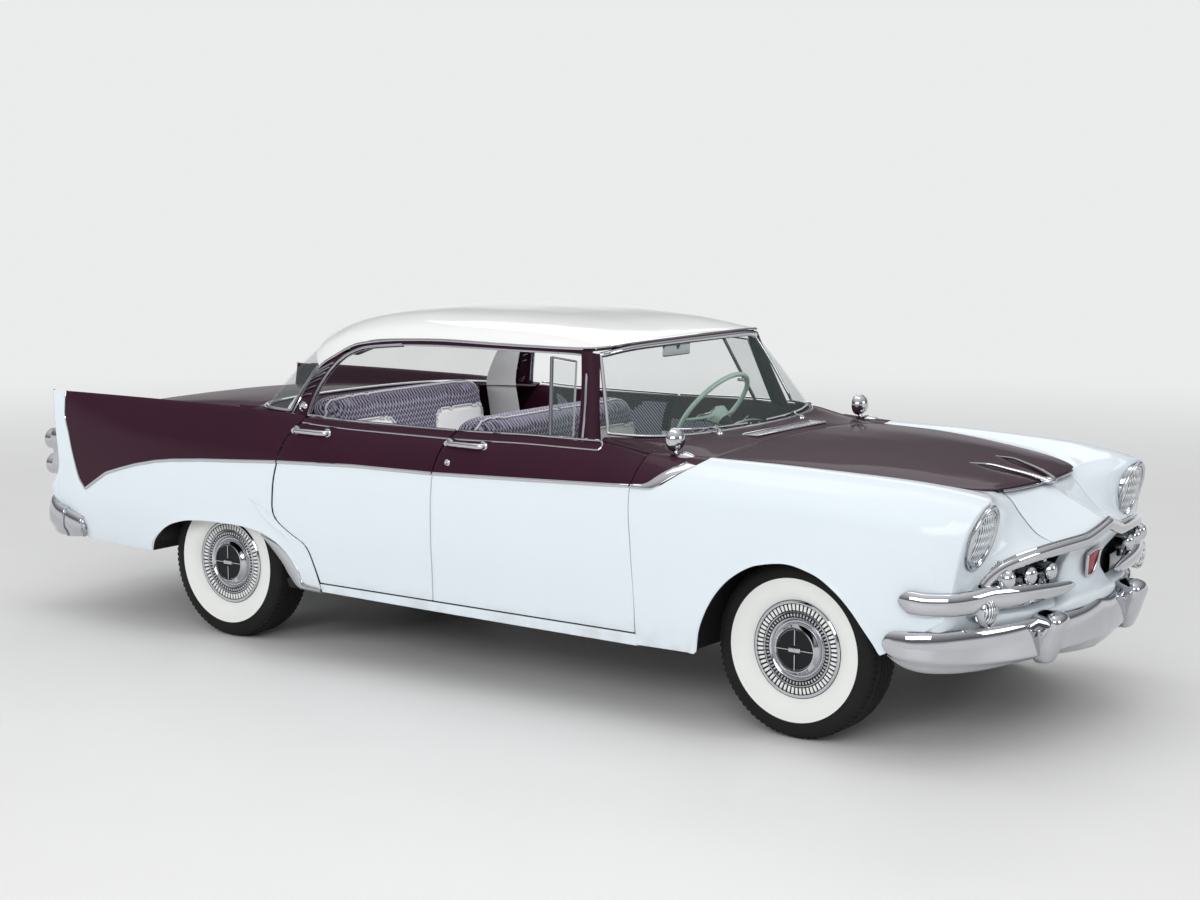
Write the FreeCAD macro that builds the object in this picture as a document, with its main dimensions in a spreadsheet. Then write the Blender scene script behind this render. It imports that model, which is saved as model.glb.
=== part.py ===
"""A 1950s four-door hardtop car.

Frame: +X to the front of the car, +Y to its left, +Z up, millimetres.
The origin is on the floor, under the middle of the car's box.
Every sub-part is one document object; its Label is the node's name.
"""
import FreeCAD, Part
import math
import os

Vector = FreeCAD.Vector
doc = FreeCAD.newDocument("classic_car")

# ---------------------------------------------------------------- driving sizes
SIZES = (
    # alias, value, what it is
    ("body_length", 5385, "bumper to bumper"),
    ("body_width", 1897, "over the doors"),
    ("roof_top", 1545, "roof crown above the floor"),
    ("wheelbase", 3048, "axle to axle"),
    ("front_axle", 1710, "front axle ahead of the origin"),
    ("track_front", 1495, "between front tyre centres"),
    ("track_rear", 1510, "between rear tyre centres"),
    ("tyre_radius", 350, "loaded tyre radius"),
    ("tyre_width", 200, "tyre section"),
    ("rim_radius", 192, "rim at the bead"),
    ("spindle_radius", 22, "wheel spindle"),
    ("spindle_fit", 0.05, "radial running clearance on a spindle"),
    ("seat_gap", 0.3, "rest gap between seated pieces"),
    ("panel_gap", 7, "gap round doors, hood and trunk lid"),
    ("door_thickness", 100, "whole door, skin to trim"),
    ("wall", 28, "fender and quarter wall"),
    ("door_front", 1035, "door cut at the front fender, at the sill"),
    ("door_middle", -15, "cut between the doors"),
    ("door_rear_lead", 414, "cut behind the rear door, ahead of the rear axle"),
    ("skin_tuck", 22, "how far the sides draw in at the sill"),
    ("sill_bottom", 300, "underside of the sill"),
    ("sill_top", 345, "door bottom line"),
    ("belt_height", 1072, "door top"),
    ("kingpin_offset", 60, "kingpin inboard of the tyre centre"),
    ("arm_drop", 125, "suspension arm above and below the axle"),
    ("rail_centre", 370, "frame rail from the middle of the car"),
    ("rail_width", 80, "frame rail"),
    ("rail_height", 110, "frame rail"),
    ("rail_bottom", 300, "frame rail above the floor"),
    ("axle_tube_radius", 40, "rear axle tube"),
    ("axle_travel", 55, "room between the rear axle tube and the rail over it"),
    ("floor_thickness", 20, "floor pan and trunk floor"),
    ("tunnel_rise", 110, "tunnel above the floor"),
    ("engine_length", 640, "engine block with its accessories"),
    ("engine_width", 540, "engine block with its accessories"),
    ("engine_height", 520, "engine block with its accessories"),
    ("seat_half_width", 640, "front bench from the middle"),
    ("hood_rear", 1245, "hood cut at the cowl"),
    ("trunk_setback", 112, "trunk lid cut under the rear window, behind the rear axle"),
    ("trunk_half_width", 640, "trunk lid edge"),
    ("nose_face", 2450, "front face of the nose panel"),
    ("tail_face", -2510, "rear face of the tail"),
    ("front_bumper_bottom", 330, "front bumper"),
    ("rear_bumper_bottom", 380, "rear bumper"),
    ("bumper_height", 150, "both bumpers"),
    ("guard_offset", 330, "bumper guards from the middle"),
    ("headlight_radius", 117, "headlight can"),
    ("headlight_offset", 694, "headlight from the middle"),
    ("headlight_height", 836, "headlight above the floor"),
    ("taillight_radius", 50, "each taillight"),
    ("steering_wheel_radius", 208, "to the middle of the rim"),
    ("steering_offset", 350, "steering column left of the middle"),
    ("column_angle", 38, "column above the horizontal, degrees"),
    ("roof_thickness", 28, "roof panel with its lining"),
    ("glass_thickness", 7, "windshield and rear window"),
    ("plate_hole_spacing", 178, "licence plate bolts, across"),
    ("plate_hole_rise", 121, "licence plate bolts, up"),
    ("plate_hole_radius", 3.5, "licence plate bolt holes"),
)
sheet = doc.addObject("Spreadsheet::Sheet", "Sizes")
for row, (alias, value, meaning) in enumerate(SIZES, start=1):
    sheet.set(f"A{row}", alias)
    sheet.set(f"B{row}", str(value))
    sheet.set(f"C{row}", meaning)
    sheet.setAlias(f"B{row}", alias)
doc.recompute()


def size(alias):
    """A driving size as a number."""
    return float(sheet.get(alias))


# ---------------------------------------------------------------- helpers
def bind(obj, **sizes):
    """Bind properties to the sheet; double underscores stand for dots."""
    for prop, formula in sizes.items():
        obj.setExpression(prop.replace("__", "."), formula)
    return obj


def box(name, x, y, z, length, width, height):
    """A box by its low corner and its three sizes, each a formula."""
    obj = doc.addObject("Part::Box", name)
    return bind(obj, Length=length, Width=width, Height=height,
                Placement__Base__x=x, Placement__Base__y=y, Placement__Base__z=z)


def cylinder(name, x, y, z, radius, length, axis):
    """A cylinder from a point along X, Y or Z."""
    turn = {"x": (Vector(0, 1, 0), 90), "y": (Vector(1, 0, 0), -90), "z": (Vector(0, 0, 1), 0)}
    obj = doc.addObject("Part::Cylinder", name)
    obj.Placement = FreeCAD.Placement(Vector(), FreeCAD.Rotation(*turn[axis]))
    return bind(obj, Radius=radius, Height=length,
                Placement__Base__x=x, Placement__Base__y=y, Placement__Base__z=z)


def feature(name, shape):
    """A free-form shape as a document object."""
    obj = doc.addObject("Part::Feature", name)
    obj.Shape = shape
    return obj


def fuse(name, *pieces):
    obj = doc.addObject("Part::MultiFuse", name)
    obj.Shapes = list(pieces)
    obj.Refine = True
    return obj


def cut(name, base, tool):
    obj = doc.addObject("Part::Cut", name)
    obj.Base = base
    obj.Tool = tool
    obj.Refine = True
    return obj


def mirrored(source):
    """The same piece on the car's other side."""
    obj = doc.addObject("Part::Mirroring", source.Name + "_mirror")
    obj.Source = source
    obj.Normal = Vector(0, 1, 0)
    return obj


def pair(name, source):
    """Left and right copies as two separate solids of one node."""
    obj = doc.addObject("Part::Compound", name)
    obj.Links = [source, mirrored(source)]
    return obj


def both(name, source):
    """A piece joined to its mirror image."""
    return fuse(name, source, mirrored(source))


def polygon(points):
    return Part.makePolygon([Vector(*p) for p in points] + [Vector(*points[0])])


def prism(points, plane, low, high):
    """Extrude an outline of (u, v) points: plane xz along Y, xy along Z, yz along X."""
    place = {"xz": lambda u, v: (u, low, v), "xy": lambda u, v: (u, v, low), "yz": lambda u, v: (low, u, v)}
    way = {"xz": Vector(0, 1, 0), "xy": Vector(0, 0, 1), "yz": Vector(1, 0, 0)}
    wire = polygon([place[plane](u, v) for u, v in points])
    return Part.Face(wire).extrude(way[plane] * (high - low))


def arch_tool(front, crown, rear):
    """A wheel arch through three (x, z) points, open at the bottom, cut from side to side."""
    low = -50
    points = [Vector(x, 0, z) for x, z in (front, crown, rear)]
    edges = [
        Part.Arc(*points).toShape(),
        Part.LineSegment(points[2], Vector(rear[0], 0, low)).toShape(),
        Part.LineSegment(Vector(rear[0], 0, low), Vector(front[0], 0, low)).toShape(),
        Part.LineSegment(Vector(front[0], 0, low), points[0]).toShape(),
    ]
    solid = Part.Face(Part.Wire(edges)).extrude(Vector(0, size("body_width"), 0))
    solid.translate(Vector(0, size("body_width") / 5, 0))
    return solid


# ---------------------------------------------------------------- derived places
half_width = size("body_width") / 2
front_end = size("body_length") / 2
rear_end = -size("body_length") / 2
rear_axle = size("front_axle") - size("wheelbase")
gap = size("panel_gap")
wall = size("wall")
seat_gap = size("seat_gap")
belt = size("belt_height")
rail_out = size("rail_centre") + size("rail_width") / 2
rail_top = size("rail_bottom") + size("rail_height")
floor_top = rail_top + size("floor_thickness")
door_inner = half_width - size("skin_tuck") - size("door_thickness")
door_rear = rear_axle + size("door_rear_lead")
lid_front = rear_axle - size("trunk_setback")
trunk_floor_half = size("track_rear") / 2 - size("tyre_width") / 2 - 65
kick_up = size("tyre_radius") + size("axle_tube_radius") + size("axle_travel") - size("rail_bottom")

# The tables below are drawn round these named places: (where a table draws it, where it is).
# A point between two places moves with both, so neighbours keep their fit.
PLACES_X = (
    (-2692.5, rear_end),
    (-2510, size("tail_face")),
    (-1338, rear_axle),
    (-924, door_rear),
    (-15, size("door_middle")),
    (1035, size("door_front")),
    (1710, size("front_axle")),
    (2450, size("nose_face")),
    (2692.5, front_end),
)
PLACES_Y = ((0, 0), (410, rail_out), (826.5, door_inner), (948.5, half_width))
PLACES_Z = ((300, size("sill_bottom")), (345, size("sill_top")), (1072, belt), (1545, size("roof_top")))


def carry(places, value):
    """A drawn coordinate carried to its place between the two nearest named places."""
    for (home, now), (next_home, next_now) in zip(places, places[1:]):
        if value <= next_home or next_home == places[-1][0]:
            return now + (value - home) * (next_now - now) / (next_home - home)


def along(x):
    return carry(PLACES_X, x)


def across(y):
    return math.copysign(carry(PLACES_Y, abs(y)), y)


def up(z):
    return carry(PLACES_Z, z)


def side_view(points):
    """Drawn (x, z) points at their places."""
    return [(along(x), up(z)) for x, z in points]


def plan_view(points):
    """Drawn (x, y) points at their places."""
    return [(along(x), across(y)) for x, y in points]


# ---------------------------------------------------------------- chassis frame
RAIL_PROFILE = (
    # x, share of the kick-up, from the front end to the rear end of a rail
    (along(2330), 0.0),
    (rear_axle + 458, 0.0),
    (rear_axle + 258, 1.0),
    (rear_axle - 282, 1.0),
    (rear_axle - 462, 0.6),
    (along(-2420), 0.6),
)
low_edge = [(x, size("rail_bottom") + share * kick_up) for x, share in RAIL_PROFILE]
high_edge = [(x, z + size("rail_height")) for x, z in low_edge]
rail = feature("rail", prism(low_edge + high_edge[::-1], "xz",
                             size("rail_centre") - size("rail_width") / 2,
                             size("rail_centre") + size("rail_width") / 2))
CROSS_MEMBERS = (
    # name, x, share of the kick-up
    ("cross_front", along(2230), 0.0),
    ("cross_gearbox", along(300), 0.0),
    ("cross_middle", along(-700), 0.0),
    ("cross_rear", along(-2400), 0.6),
)
crosses = []
for name, x, share in CROSS_MEMBERS:
    crosses.append(box(name, str(x), "-Sizes.rail_centre", f"Sizes.rail_bottom + {share * kick_up}",
                       "70", "2 * Sizes.rail_centre", "30"))
fuse("chassis_frame", rail, mirrored(rail), *crosses)

# ---------------------------------------------------------------- front suspension and knuckles
AXLE_X = "Sizes.front_axle"
AXLE_Z = "Sizes.tyre_radius"
RAIL_OUT = "Sizes.rail_centre + Sizes.rail_width / 2"
KINGPIN_Y = "Sizes.track_front / 2 - Sizes.kingpin_offset"
tower = box("tower", AXLE_X + " - 60", RAIL_OUT, AXLE_Z + " - Sizes.arm_drop - 25",
            "120", "40", "2 * Sizes.arm_drop + 50")
low_arm = box("low_arm", AXLE_X + " - 30", RAIL_OUT, AXLE_Z + " - Sizes.arm_drop - 25",
              "60", f"{KINGPIN_Y} + 25 - ({RAIL_OUT})", "25 - Sizes.seat_gap")
high_arm = box("high_arm", AXLE_X + " - 30", RAIL_OUT, AXLE_Z + " + Sizes.arm_drop + Sizes.seat_gap",
               "60", f"{KINGPIN_Y} + 25 - ({RAIL_OUT})", "25 - Sizes.seat_gap")
cross_beam = box("cross_beam", AXLE_X + " - 60", f"-({RAIL_OUT})", AXLE_Z + " - Sizes.arm_drop - 25",
                 "120", f"2 * ({RAIL_OUT})", "Sizes.rail_bottom - Sizes.tyre_radius + Sizes.arm_drop + 25")
side_arms = fuse("side_arms", tower, low_arm, high_arm)
fuse("front_suspension", side_arms, mirrored(side_arms), cross_beam)

kingpin = cylinder("kingpin", AXLE_X, KINGPIN_Y, AXLE_Z + " - Sizes.arm_drop",
                   "20", "2 * Sizes.arm_drop", "z")
spindle = cylinder("spindle", AXLE_X, KINGPIN_Y, AXLE_Z,
                   "Sizes.spindle_radius", "Sizes.kingpin_offset + 35", "y")
brake_plate = cylinder("brake_plate", AXLE_X, KINGPIN_Y + " - 8", AXLE_Z, "110", "28", "y")
knuckle_left = fuse("steering_knuckle_left", kingpin, spindle, brake_plate)
mirrored(knuckle_left).Label = "steering_knuckle_right"

# ---------------------------------------------------------------- rear axle and its springs
REAR_X = "Sizes.front_axle - Sizes.wheelbase"
axle_tube = cylinder("axle_tube", REAR_X, "-Sizes.track_rear / 2 + 90", AXLE_Z, "Sizes.axle_tube_radius",
                     "Sizes.track_rear - 180", "y")
axle_spindle = cylinder("axle_spindle", REAR_X, "-Sizes.track_rear / 2 - 35", AXLE_Z,
                        "Sizes.spindle_radius", "Sizes.track_rear + 70", "y")
rear_drum = cylinder("rear_drum", REAR_X, "Sizes.track_rear / 2 - 100", AXLE_Z, "110", "50", "y")
differential = doc.addObject("Part::Sphere", "differential")
bind(differential, Radius="130", Placement__Base__x=REAR_X, Placement__Base__z=AXLE_Z)
SPRING_LOW = "Sizes.rail_bottom - 40"
SPRING_Y = "Sizes.rail_centre - 30"
spring_leaf = box("spring_leaf", REAR_X + " - 620", SPRING_Y, SPRING_LOW, "1220", "60", "28")
spring_clamp = box("spring_clamp", REAR_X + " - 60", SPRING_Y, SPRING_LOW, "120", "60",
                   f"{AXLE_Z} - 10 - ({SPRING_LOW})")
front_hanger = box("front_hanger", REAR_X + " + 540", SPRING_Y, SPRING_LOW, "60", "60",
                   "40 - Sizes.seat_gap")
rear_shackle = box("rear_shackle", REAR_X + " - 620", SPRING_Y, SPRING_LOW, "40", "60",
                   f"40 + {0.6 * kick_up} - Sizes.seat_gap")
side_spring = fuse("side_spring", spring_leaf, spring_clamp, front_hanger, rear_shackle, rear_drum)
fuse("rear_axle", axle_tube, axle_spindle, differential, side_spring, mirrored(side_spring))

# ---------------------------------------------------------------- engine, gearbox and shaft
ENGINE_REAR = AXLE_X + " - 530"
GEARBOX_REAR = "950"
engine = box("engine", ENGINE_REAR, "-Sizes.engine_width / 2", "Sizes.rail_bottom",
             "Sizes.engine_length", "Sizes.engine_width", "Sizes.engine_height")
gearbox = box("gearbox", f"{AXLE_X} - {GEARBOX_REAR}", "-90", "Sizes.rail_bottom + 20", "640", "180", "160")
shaft = cylinder("shaft", REAR_X + " + 135", "0", "Sizes.rail_bottom + 70", "35",
                 f"Sizes.wheelbase - {GEARBOX_REAR} - 128", "x")
mount_bar = box("mount_bar", AXLE_X + " - 90", "-Sizes.rail_centre + Sizes.rail_width / 2", "Sizes.rail_bottom + 30",
                "60", "2 * Sizes.rail_centre - Sizes.rail_width", "60")
power_train = fuse("engine_and_gearbox", engine, gearbox, shaft, mount_bar)

PIPE_Z = "Sizes.rail_bottom - 42"
pipe_low = "Sizes.front_axle - Sizes.wheelbase - 1222"
muffler = box("muffler", f"{along(-560)}", "150", "Sizes.rail_bottom - 85", "560", "140", "75")
tail_pipe = cylinder("tail_pipe", pipe_low, "220", PIPE_Z, "24", f"{along(-40)} - ({pipe_low})", "x")
front_pipe = cylinder("front_pipe", f"{along(-40)}", "220", PIPE_Z, "24", f"{along(1300)} - {along(-40)}", "x")
pipe_hanger = box("pipe_hanger", f"{along(300)} + 40", "215", "Sizes.rail_bottom - 30", "12", "14",
                  "30 - Sizes.seat_gap")
exhaust = fuse("exhaust", muffler, tail_pipe, front_pipe, pipe_hanger)
tank = box("tank", f"{rear_axle - 992}", "-300", f"{rail_top + kick_up} - 155", "560", "460", "155 - Sizes.seat_gap")
group = doc.addObject("Part::Compound", "fuel_tank_and_exhaust")
group.Links = [tank, exhaust]

# ---------------------------------------------------------------- floor pan with its sills
tunnel_top = floor_top + size("tunnel_rise")
FLOOR_OUTLINE = (
    # y, z round the left half of the floor, tunnel and sill; the doors shut against the sill's upper wall
    (0, tunnel_top),
    (110, tunnel_top),
    (150, floor_top),
    (door_inner - seat_gap, floor_top),
    (door_inner - seat_gap, size("sill_top") - 1),
    (half_width - size("skin_tuck"), size("sill_top") - 1),
    (half_width - size("skin_tuck") - 14, size("sill_bottom")),
    (door_inner - 90, size("sill_bottom")),
    (door_inner - 90, rail_top),
    (130, rail_top),
    (95, tunnel_top - 20),
    (0, tunnel_top - 20),
)
floor_front = size("door_front") - 5
floor_rear = rear_axle + 458
front_floor = feature("front_floor", prism(FLOOR_OUTLINE, "yz", floor_rear, floor_front))
trunk_floor_z = rail_top + kick_up
trunk_floor_end = size("tail_face") + 30
rear_floor = feature("rear_floor", prism(
    ((floor_rear, rail_top + seat_gap), (floor_rear, trunk_floor_z + 20), (trunk_floor_end, trunk_floor_z + 20),
     (trunk_floor_end, trunk_floor_z + seat_gap), (floor_rear - 200, trunk_floor_z + seat_gap)),
    "xz", 0, trunk_floor_half))
both("floor_pan", fuse("half_floor", front_floor, rear_floor))

# ---------------------------------------------------------------- body sides
SIDE = (
    # x, bottom z, y at bottom, y at 600, y at 900, shoulder y, shoulder z, edge y, edge z
    (2420, 480, 780, 806, 795, 772, 952, 690, 966),
    (2200, 400, 870, 900, 880, 800, 1000, 645, 1010),
    (1720, 300, 905, 930, 905, 800, 1015, 678, 1024),
    (1040, 300, 912, 940, 915, 820, 1034, 690, 1036),
)
fender_sections = []
for x, low_z, low_y, mid_y, high_y, shoulder_y, shoulder_z, edge_y, edge_z in SIDE:
    fender_sections.append((along(x), [
        (across(y), up(z), upper) for y, z, upper in (
            (low_y, low_z, False), (mid_y, 600, False), (high_y, 900, False),
            (shoulder_y, shoulder_z, True), (edge_y, edge_z, True))]))
fender_sections[-1] = (size("door_front") - 40, fender_sections[-1][1])


def fender_strip(sections, thickness):
    """The wall of a fender: outer points, then the same points moved in by the wall."""
    wires = []
    for x, outer in sections:
        inner = []
        for y, z, upper in outer:
            inner.append((y if upper and y == outer[-1][0] else y - thickness, z - thickness if upper else z))
        loop = [(y, z) for y, z, upper in outer] + inner[::-1]
        wires.append(polygon([(x, y, z) for y, z in loop]))
    return Part.makeLoft(wires, True, True)


axle_x = size("front_axle")
arch_rise = size("tyre_radius") - 350
front_arch = arch_tool((axle_x + 398, 402 + arch_rise), (axle_x, 694 + arch_rise), (axle_x - 385, 300 + arch_rise))
lamp_way = Part.makeCylinder(size("headlight_radius") + seat_gap, 200,
                             Vector(size("nose_face") - 150, size("headlight_offset"), size("headlight_height")),
                             Vector(1, 0, 0))
door_lean = 46
door_side = prism(((size("door_front") + gap - door_lean, up(928)), (size("door_front") + gap - door_lean + 14, 1200),
                   (size("door_front") - 235, 1200), (size("door_front") - 235, 200),
                   (size("door_front") + gap, 200)), "xz", 0, half_width + 50)
fender = feature("fender", fender_strip(fender_sections, wall).cut(front_arch).cut(lamp_way).cut(door_side))
pair("front_fenders", fender)

lid_side = size("trunk_half_width") + gap
QUARTER = (
    # x, bottom z, y at bottom, y at 600, y at 900, fin y, fin z, root y, root z, edge y, edge z
    (-840, 310, 912, 944, 925, 862, 1080, 840, 1050, 790, 1050),
    (-1300, 330, 910, 948, 925, 868, 1084, 835, 1050, 690, 1050),
    (-1700, 362, 905, 946, 925, 870, 1084, 825, 1010, 648, 1025),
    (-2250, 362, 866, 918, 902, 868, 1084, 812, 985, 648, 1000),
    (-2480, 420, 832, 888, 882, 866, 1082, 806, 960, 648, 965),
)
quarter_wires = []
for x, low_z, low_y, mid_y, high_y, fin_y, fin_z, root_y, root_z, edge_y, edge_z in QUARTER:
    loop = (
        (low_y, low_z), (mid_y, 600), (high_y, 900), (fin_y, fin_z), (fin_y - 14, fin_z),
        (root_y, root_z), (edge_y, edge_z), (edge_y, edge_z - 20), (root_y - 8, root_z - 24),
        (high_y - wall - 24, 900), (mid_y - wall, 600), (low_y - wall, low_z))
    quarter_wires.append(polygon([(along(x), max(across(y), lid_side + 1), up(z)) for y, z in loop]))
quarter_shell = Part.makeLoft(quarter_wires, True, True)
rear_arch = arch_tool((rear_axle + 538, 330 + arch_rise), (rear_axle + 28, 556 + arch_rise),
                      (rear_axle - 440, 368 + arch_rise))
REAR_DOOR_CUT = (
    # x ahead of the cut at the trim line, z, down the rear door's rear edge
    (72, 1200),
    (0, 862),
    (-20, 652),
    (22, 593),
    (178, 505),
    (263, 321),
    (263, 200),
)
rear_cut = [(door_rear + x, up(z)) for x, z in REAR_DOOR_CUT]
ahead = [(size("door_middle"), rear_cut[-1][1]), (size("door_middle"), rear_cut[0][1])]
door_side = prism(rear_cut + ahead, "xz", 0, half_width + 50)
TAIL_CAP = ((832, 430), (886, 600), (880, 900), (864, 1078), (852, 1078), (808, 958))
tail_cap = prism([(lid_side, up(450))] + [(across(y), up(z)) for y, z in TAIL_CAP] + [(lid_side, up(962))],
                 "yz", size("tail_face"), size("tail_face") + 30)
quarter = feature("quarter", quarter_shell.cut(rear_arch).cut(door_side).fuse(tail_cap).removeSplitter())
pair("rear_quarters", quarter)

# ---------------------------------------------------------------- doors
DOOR_STATIONS = (
    # x, y at the bottom, y at 600, y at 900, y at the belt
    (1040, 912, 940, 915, 830),
    (-20, 916, 948.5, 926, 852),
    (-960, 912, 945.5, 925, 862),
)
door_wires = []
for x, low_y, mid_y, high_y, belt_y in DOOR_STATIONS:
    loop = (
        (across(low_y), size("sill_top") + gap), (across(mid_y), up(600)), (across(high_y), up(900)),
        (across(belt_y), belt), (across(belt_y) - 70, belt), (door_inner, up(900)),
        (door_inner, size("sill_top") + gap))
    door_wires.append(polygon([(along(x), y, z) for y, z in loop]))
door_band = Part.makeLoft(door_wires, True, True)
door_cut_top = size("door_front") - door_lean
front_outline = (
    (size("door_front") - gap, 200), (door_cut_top - gap, up(928)), (door_cut_top - gap + 14, 1200),
    (size("door_middle") + gap / 2, 1200), (size("door_middle") + gap / 2, 200))
rear_outline = [(x + gap, z + gap / 2) for x, z in rear_cut] + [
    (size("door_middle") - gap / 2, rear_cut[-1][1]), (size("door_middle") - gap / 2, rear_cut[0][1])]
VENT_BAR = 22
vent_top = up(1392)
divider_foot = Vector(along(516), across(790), belt - 20)
divider_head = Vector(along(425), across(662), vent_top)
pillar_foot = Vector(along(640), across(775), belt - 20)
pillar_head = Vector(along(540), across(655), vent_top)


def bar(start, end, width, depth):
    """A rectangular bar between two points, `width` along X and `depth` along Y."""
    corners = ((-width / 2, -depth / 2), (width / 2, -depth / 2), (width / 2, depth / 2), (-width / 2, depth / 2))
    wires = []
    for point in (start, end):
        wires.append(polygon([(point.x + dx, point.y + dy, point.z) for dx, dy in corners]))
    return Part.makeLoft(wires, True, True)


def panel_between(foot_a, foot_b, head_a, head_b, depth):
    """A thin panel between two feet and two heads."""
    wires = []
    for a, b in ((foot_a, foot_b), (head_a, head_b)):
        wires.append(polygon([(a.x, a.y, a.z), (b.x, b.y, b.z), (b.x, b.y - depth, b.z), (a.x, a.y - depth, a.z)]))
    return Part.makeLoft(wires, True, True)


vent_frame = bar(divider_foot, divider_head, VENT_BAR, VENT_BAR).fuse(
    bar(pillar_foot, pillar_head, VENT_BAR, VENT_BAR))
head_rail = panel_between(divider_head - Vector(0, 0, 18), pillar_head - Vector(0, 0, 18),
                          divider_head, pillar_head, VENT_BAR / 2)
front_panel = door_band.common(prism(front_outline, "xz", 0, half_width + 50))
front_door = feature("front_door_left", front_panel.fuse(vent_frame).fuse(head_rail).removeSplitter())
rear_door = feature("rear_door_left", door_band.common(prism(rear_outline, "xz", 0, half_width + 50)))
mirrored(front_door).Label = "front_door_right"
mirrored(rear_door).Label = "rear_door_right"

glass_inset = Vector(VENT_BAR / 2 + seat_gap, 0, 0)
frame_bite = 21
lean_a = (divider_head - divider_foot) * (frame_bite / (divider_head.z - divider_foot.z))
lean_b = (pillar_head - pillar_foot) * (frame_bite / (pillar_head.z - pillar_foot.z))
vent_glass = feature("vent_window_left", panel_between(
    divider_foot + lean_a + glass_inset, pillar_foot + lean_b - glass_inset,
    divider_head - lean_a + glass_inset, pillar_head - lean_b - glass_inset, 5))
mirrored(vent_glass).Label = "vent_window_right"

# ---------------------------------------------------------------- cowl and firewall
cowl_low = up(1015)
COWL_PLAN = (
    # x, y round the left half of the cowl top
    (size("hood_rear") - gap, 0),
    (size("hood_rear") - gap, across(668)),
    (size("door_front") - 50, across(682)),
    (size("door_front") - 56, across(735)),
    (along(660), across(735)),
    (along(660), across(700)),
    (along(800), across(690)),
    (along(930), across(540)),
    (along(990), 0),
)
firewall_rear = size("door_front") - 4
cowl_top = feature("cowl_top", prism(COWL_PLAN, "xy", cowl_low, belt))
firewall = feature("firewall", prism(
    ((0, tunnel_top + 5), (155, tunnel_top + 5), (160, rail_top + 2 * seat_gap),
     (across(735), rail_top + 2 * seat_gap), (across(735), cowl_low - 15), (across(675), cowl_low - 15),
     (across(675), cowl_low + 5), (0, cowl_low + 5)),
    "yz", firewall_rear, firewall_rear + 20))
kick_panel = box("kick_panel", f"{along(660)}", f"{across(735)} - 12", f"{floor_top} + Sizes.seat_gap",
                 f"{size('door_front') - 55 - along(660)}", "12", f"{cowl_low - floor_top}")
both("cowl", fuse("half_cowl", cowl_top, firewall, kick_panel))

# ---------------------------------------------------------------- wheelhouses
house_roof = up(890)
house_side = across(716)
house_wires = []
for x, top_z in ((size("door_front") + 30, up(1004)), (along(2300), up(955))):
    house_wires.append(polygon([(x, y, z) for y, z in (
        (rail_out - 15, rail_top + seat_gap), (rail_out, rail_top + seat_gap), (rail_out, house_roof),
        (house_side, house_roof), (house_side, top_z), (house_side - 15, top_z),
        (house_side - 15, house_roof + 15), (rail_out - 15, house_roof + 15))]))
front_house = feature("front_house", Part.makeLoft(house_wires, True, True))
house_radius = size("tyre_radius") + 62
house_inner = trunk_floor_half + 10
house_outer = across(883.4)
drum_centre = Vector(rear_axle, house_inner, size("tyre_radius"))
outer_drum = Part.makeCylinder(house_radius, house_outer - house_inner, drum_centre, Vector(0, 1, 0))
inner_drum = Part.makeCylinder(house_radius - 14, house_outer, drum_centre + Vector(0, 14, 0), Vector(0, 1, 0))
house_span = 2 * house_radius + 200
below = Part.makeBox(house_span, house_outer, house_span,
                     Vector(rear_axle - house_span / 2, house_inner - 20, size("tyre_radius") + 70 - house_span))
rear_house = feature("rear_house", outer_drum.cut(inner_drum).cut(below))
group = doc.addObject("Part::Compound", "wheelhouses")
group.Links = [front_house, mirrored(front_house), rear_house, mirrored(rear_house)]

# ---------------------------------------------------------------- roof with its pillars
ROOF = (
    # x, crown z, quarter-way y, quarter-way z, shoulder y, shoulder z, drip y, drip z
    (655, 1452, 330, 1448, 540, 1440, 600, 1432),
    (560, 1490, 360, 1482, 570, 1455, 645, 1432),
    (150, 1538, 360, 1530, 590, 1480, 672, 1425),
    (-350, 1545, 360, 1536, 595, 1482, 680, 1420),
    (-750, 1522, 360, 1508, 590, 1440, 682, 1370),
    (-1010, 1455, 340, 1440, 560, 1380, 655, 1325),
)


DRIP_START = 600   # ahead of this the roof's edge is as thick as its middle


def roof_loft(grown):
    """The roof panel, or a copy grown to every side that trims what meets it."""
    wires = []
    for x, crown_z, flank_y, flank_z, shoulder_y, shoulder_z, drip_y, drip_z in ROOF:
        thickness = size("roof_thickness")
        half = [(0, crown_z), (flank_y, flank_z), (shoulder_y, shoulder_z), (drip_y, drip_z)]
        half = [(across(y), up(z)) for y, z in half]
        outer = [(-y, z) for y, z in half[:0:-1]] + half
        inner = []
        for y, z in outer:
            drop = 8 if abs(y) == half[-1][0] else thickness
            if abs(y) == half[-1][0] and x > DRIP_START:
                drop = thickness
            inner.append((y * (1 - 26 / 680), z - drop - grown))
        outer = [(y + math.copysign(grown, y), z + grown) for y, z in outer]
        wires.append(polygon([(along(x), y, z) for y, z in outer + inner[::-1]]))
    return Part.makeLoft(wires, True, True)


roof_shell = feature("roof_shell", roof_loft(0))
front_pillar = feature("front_pillar", bar(
    Vector(along(686), across(715), belt + seat_gap), Vector(along(600), across(622), up(1436)), 44, 26))
PILLAR_FOOT = ((-905, 832), (-905, 790), (-1060, 775), (-1060, 815))
PILLAR_HEAD = ((-700, 655), (-700, 630), (-940, 590), (-940, 620))
rear_pillar_wires = [
    polygon([(x, y, up(1050) + seat_gap) for x, y in plan_view(PILLAR_FOOT)]),
    polygon([(x, y, up(1400)) for x, y in plan_view(PILLAR_HEAD)])]
rear_pillar = feature("rear_pillar", Part.makeLoft(rear_pillar_wires, True, True))
fuse("roof", roof_shell, front_pillar, mirrored(front_pillar), rear_pillar, mirrored(rear_pillar))

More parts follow.
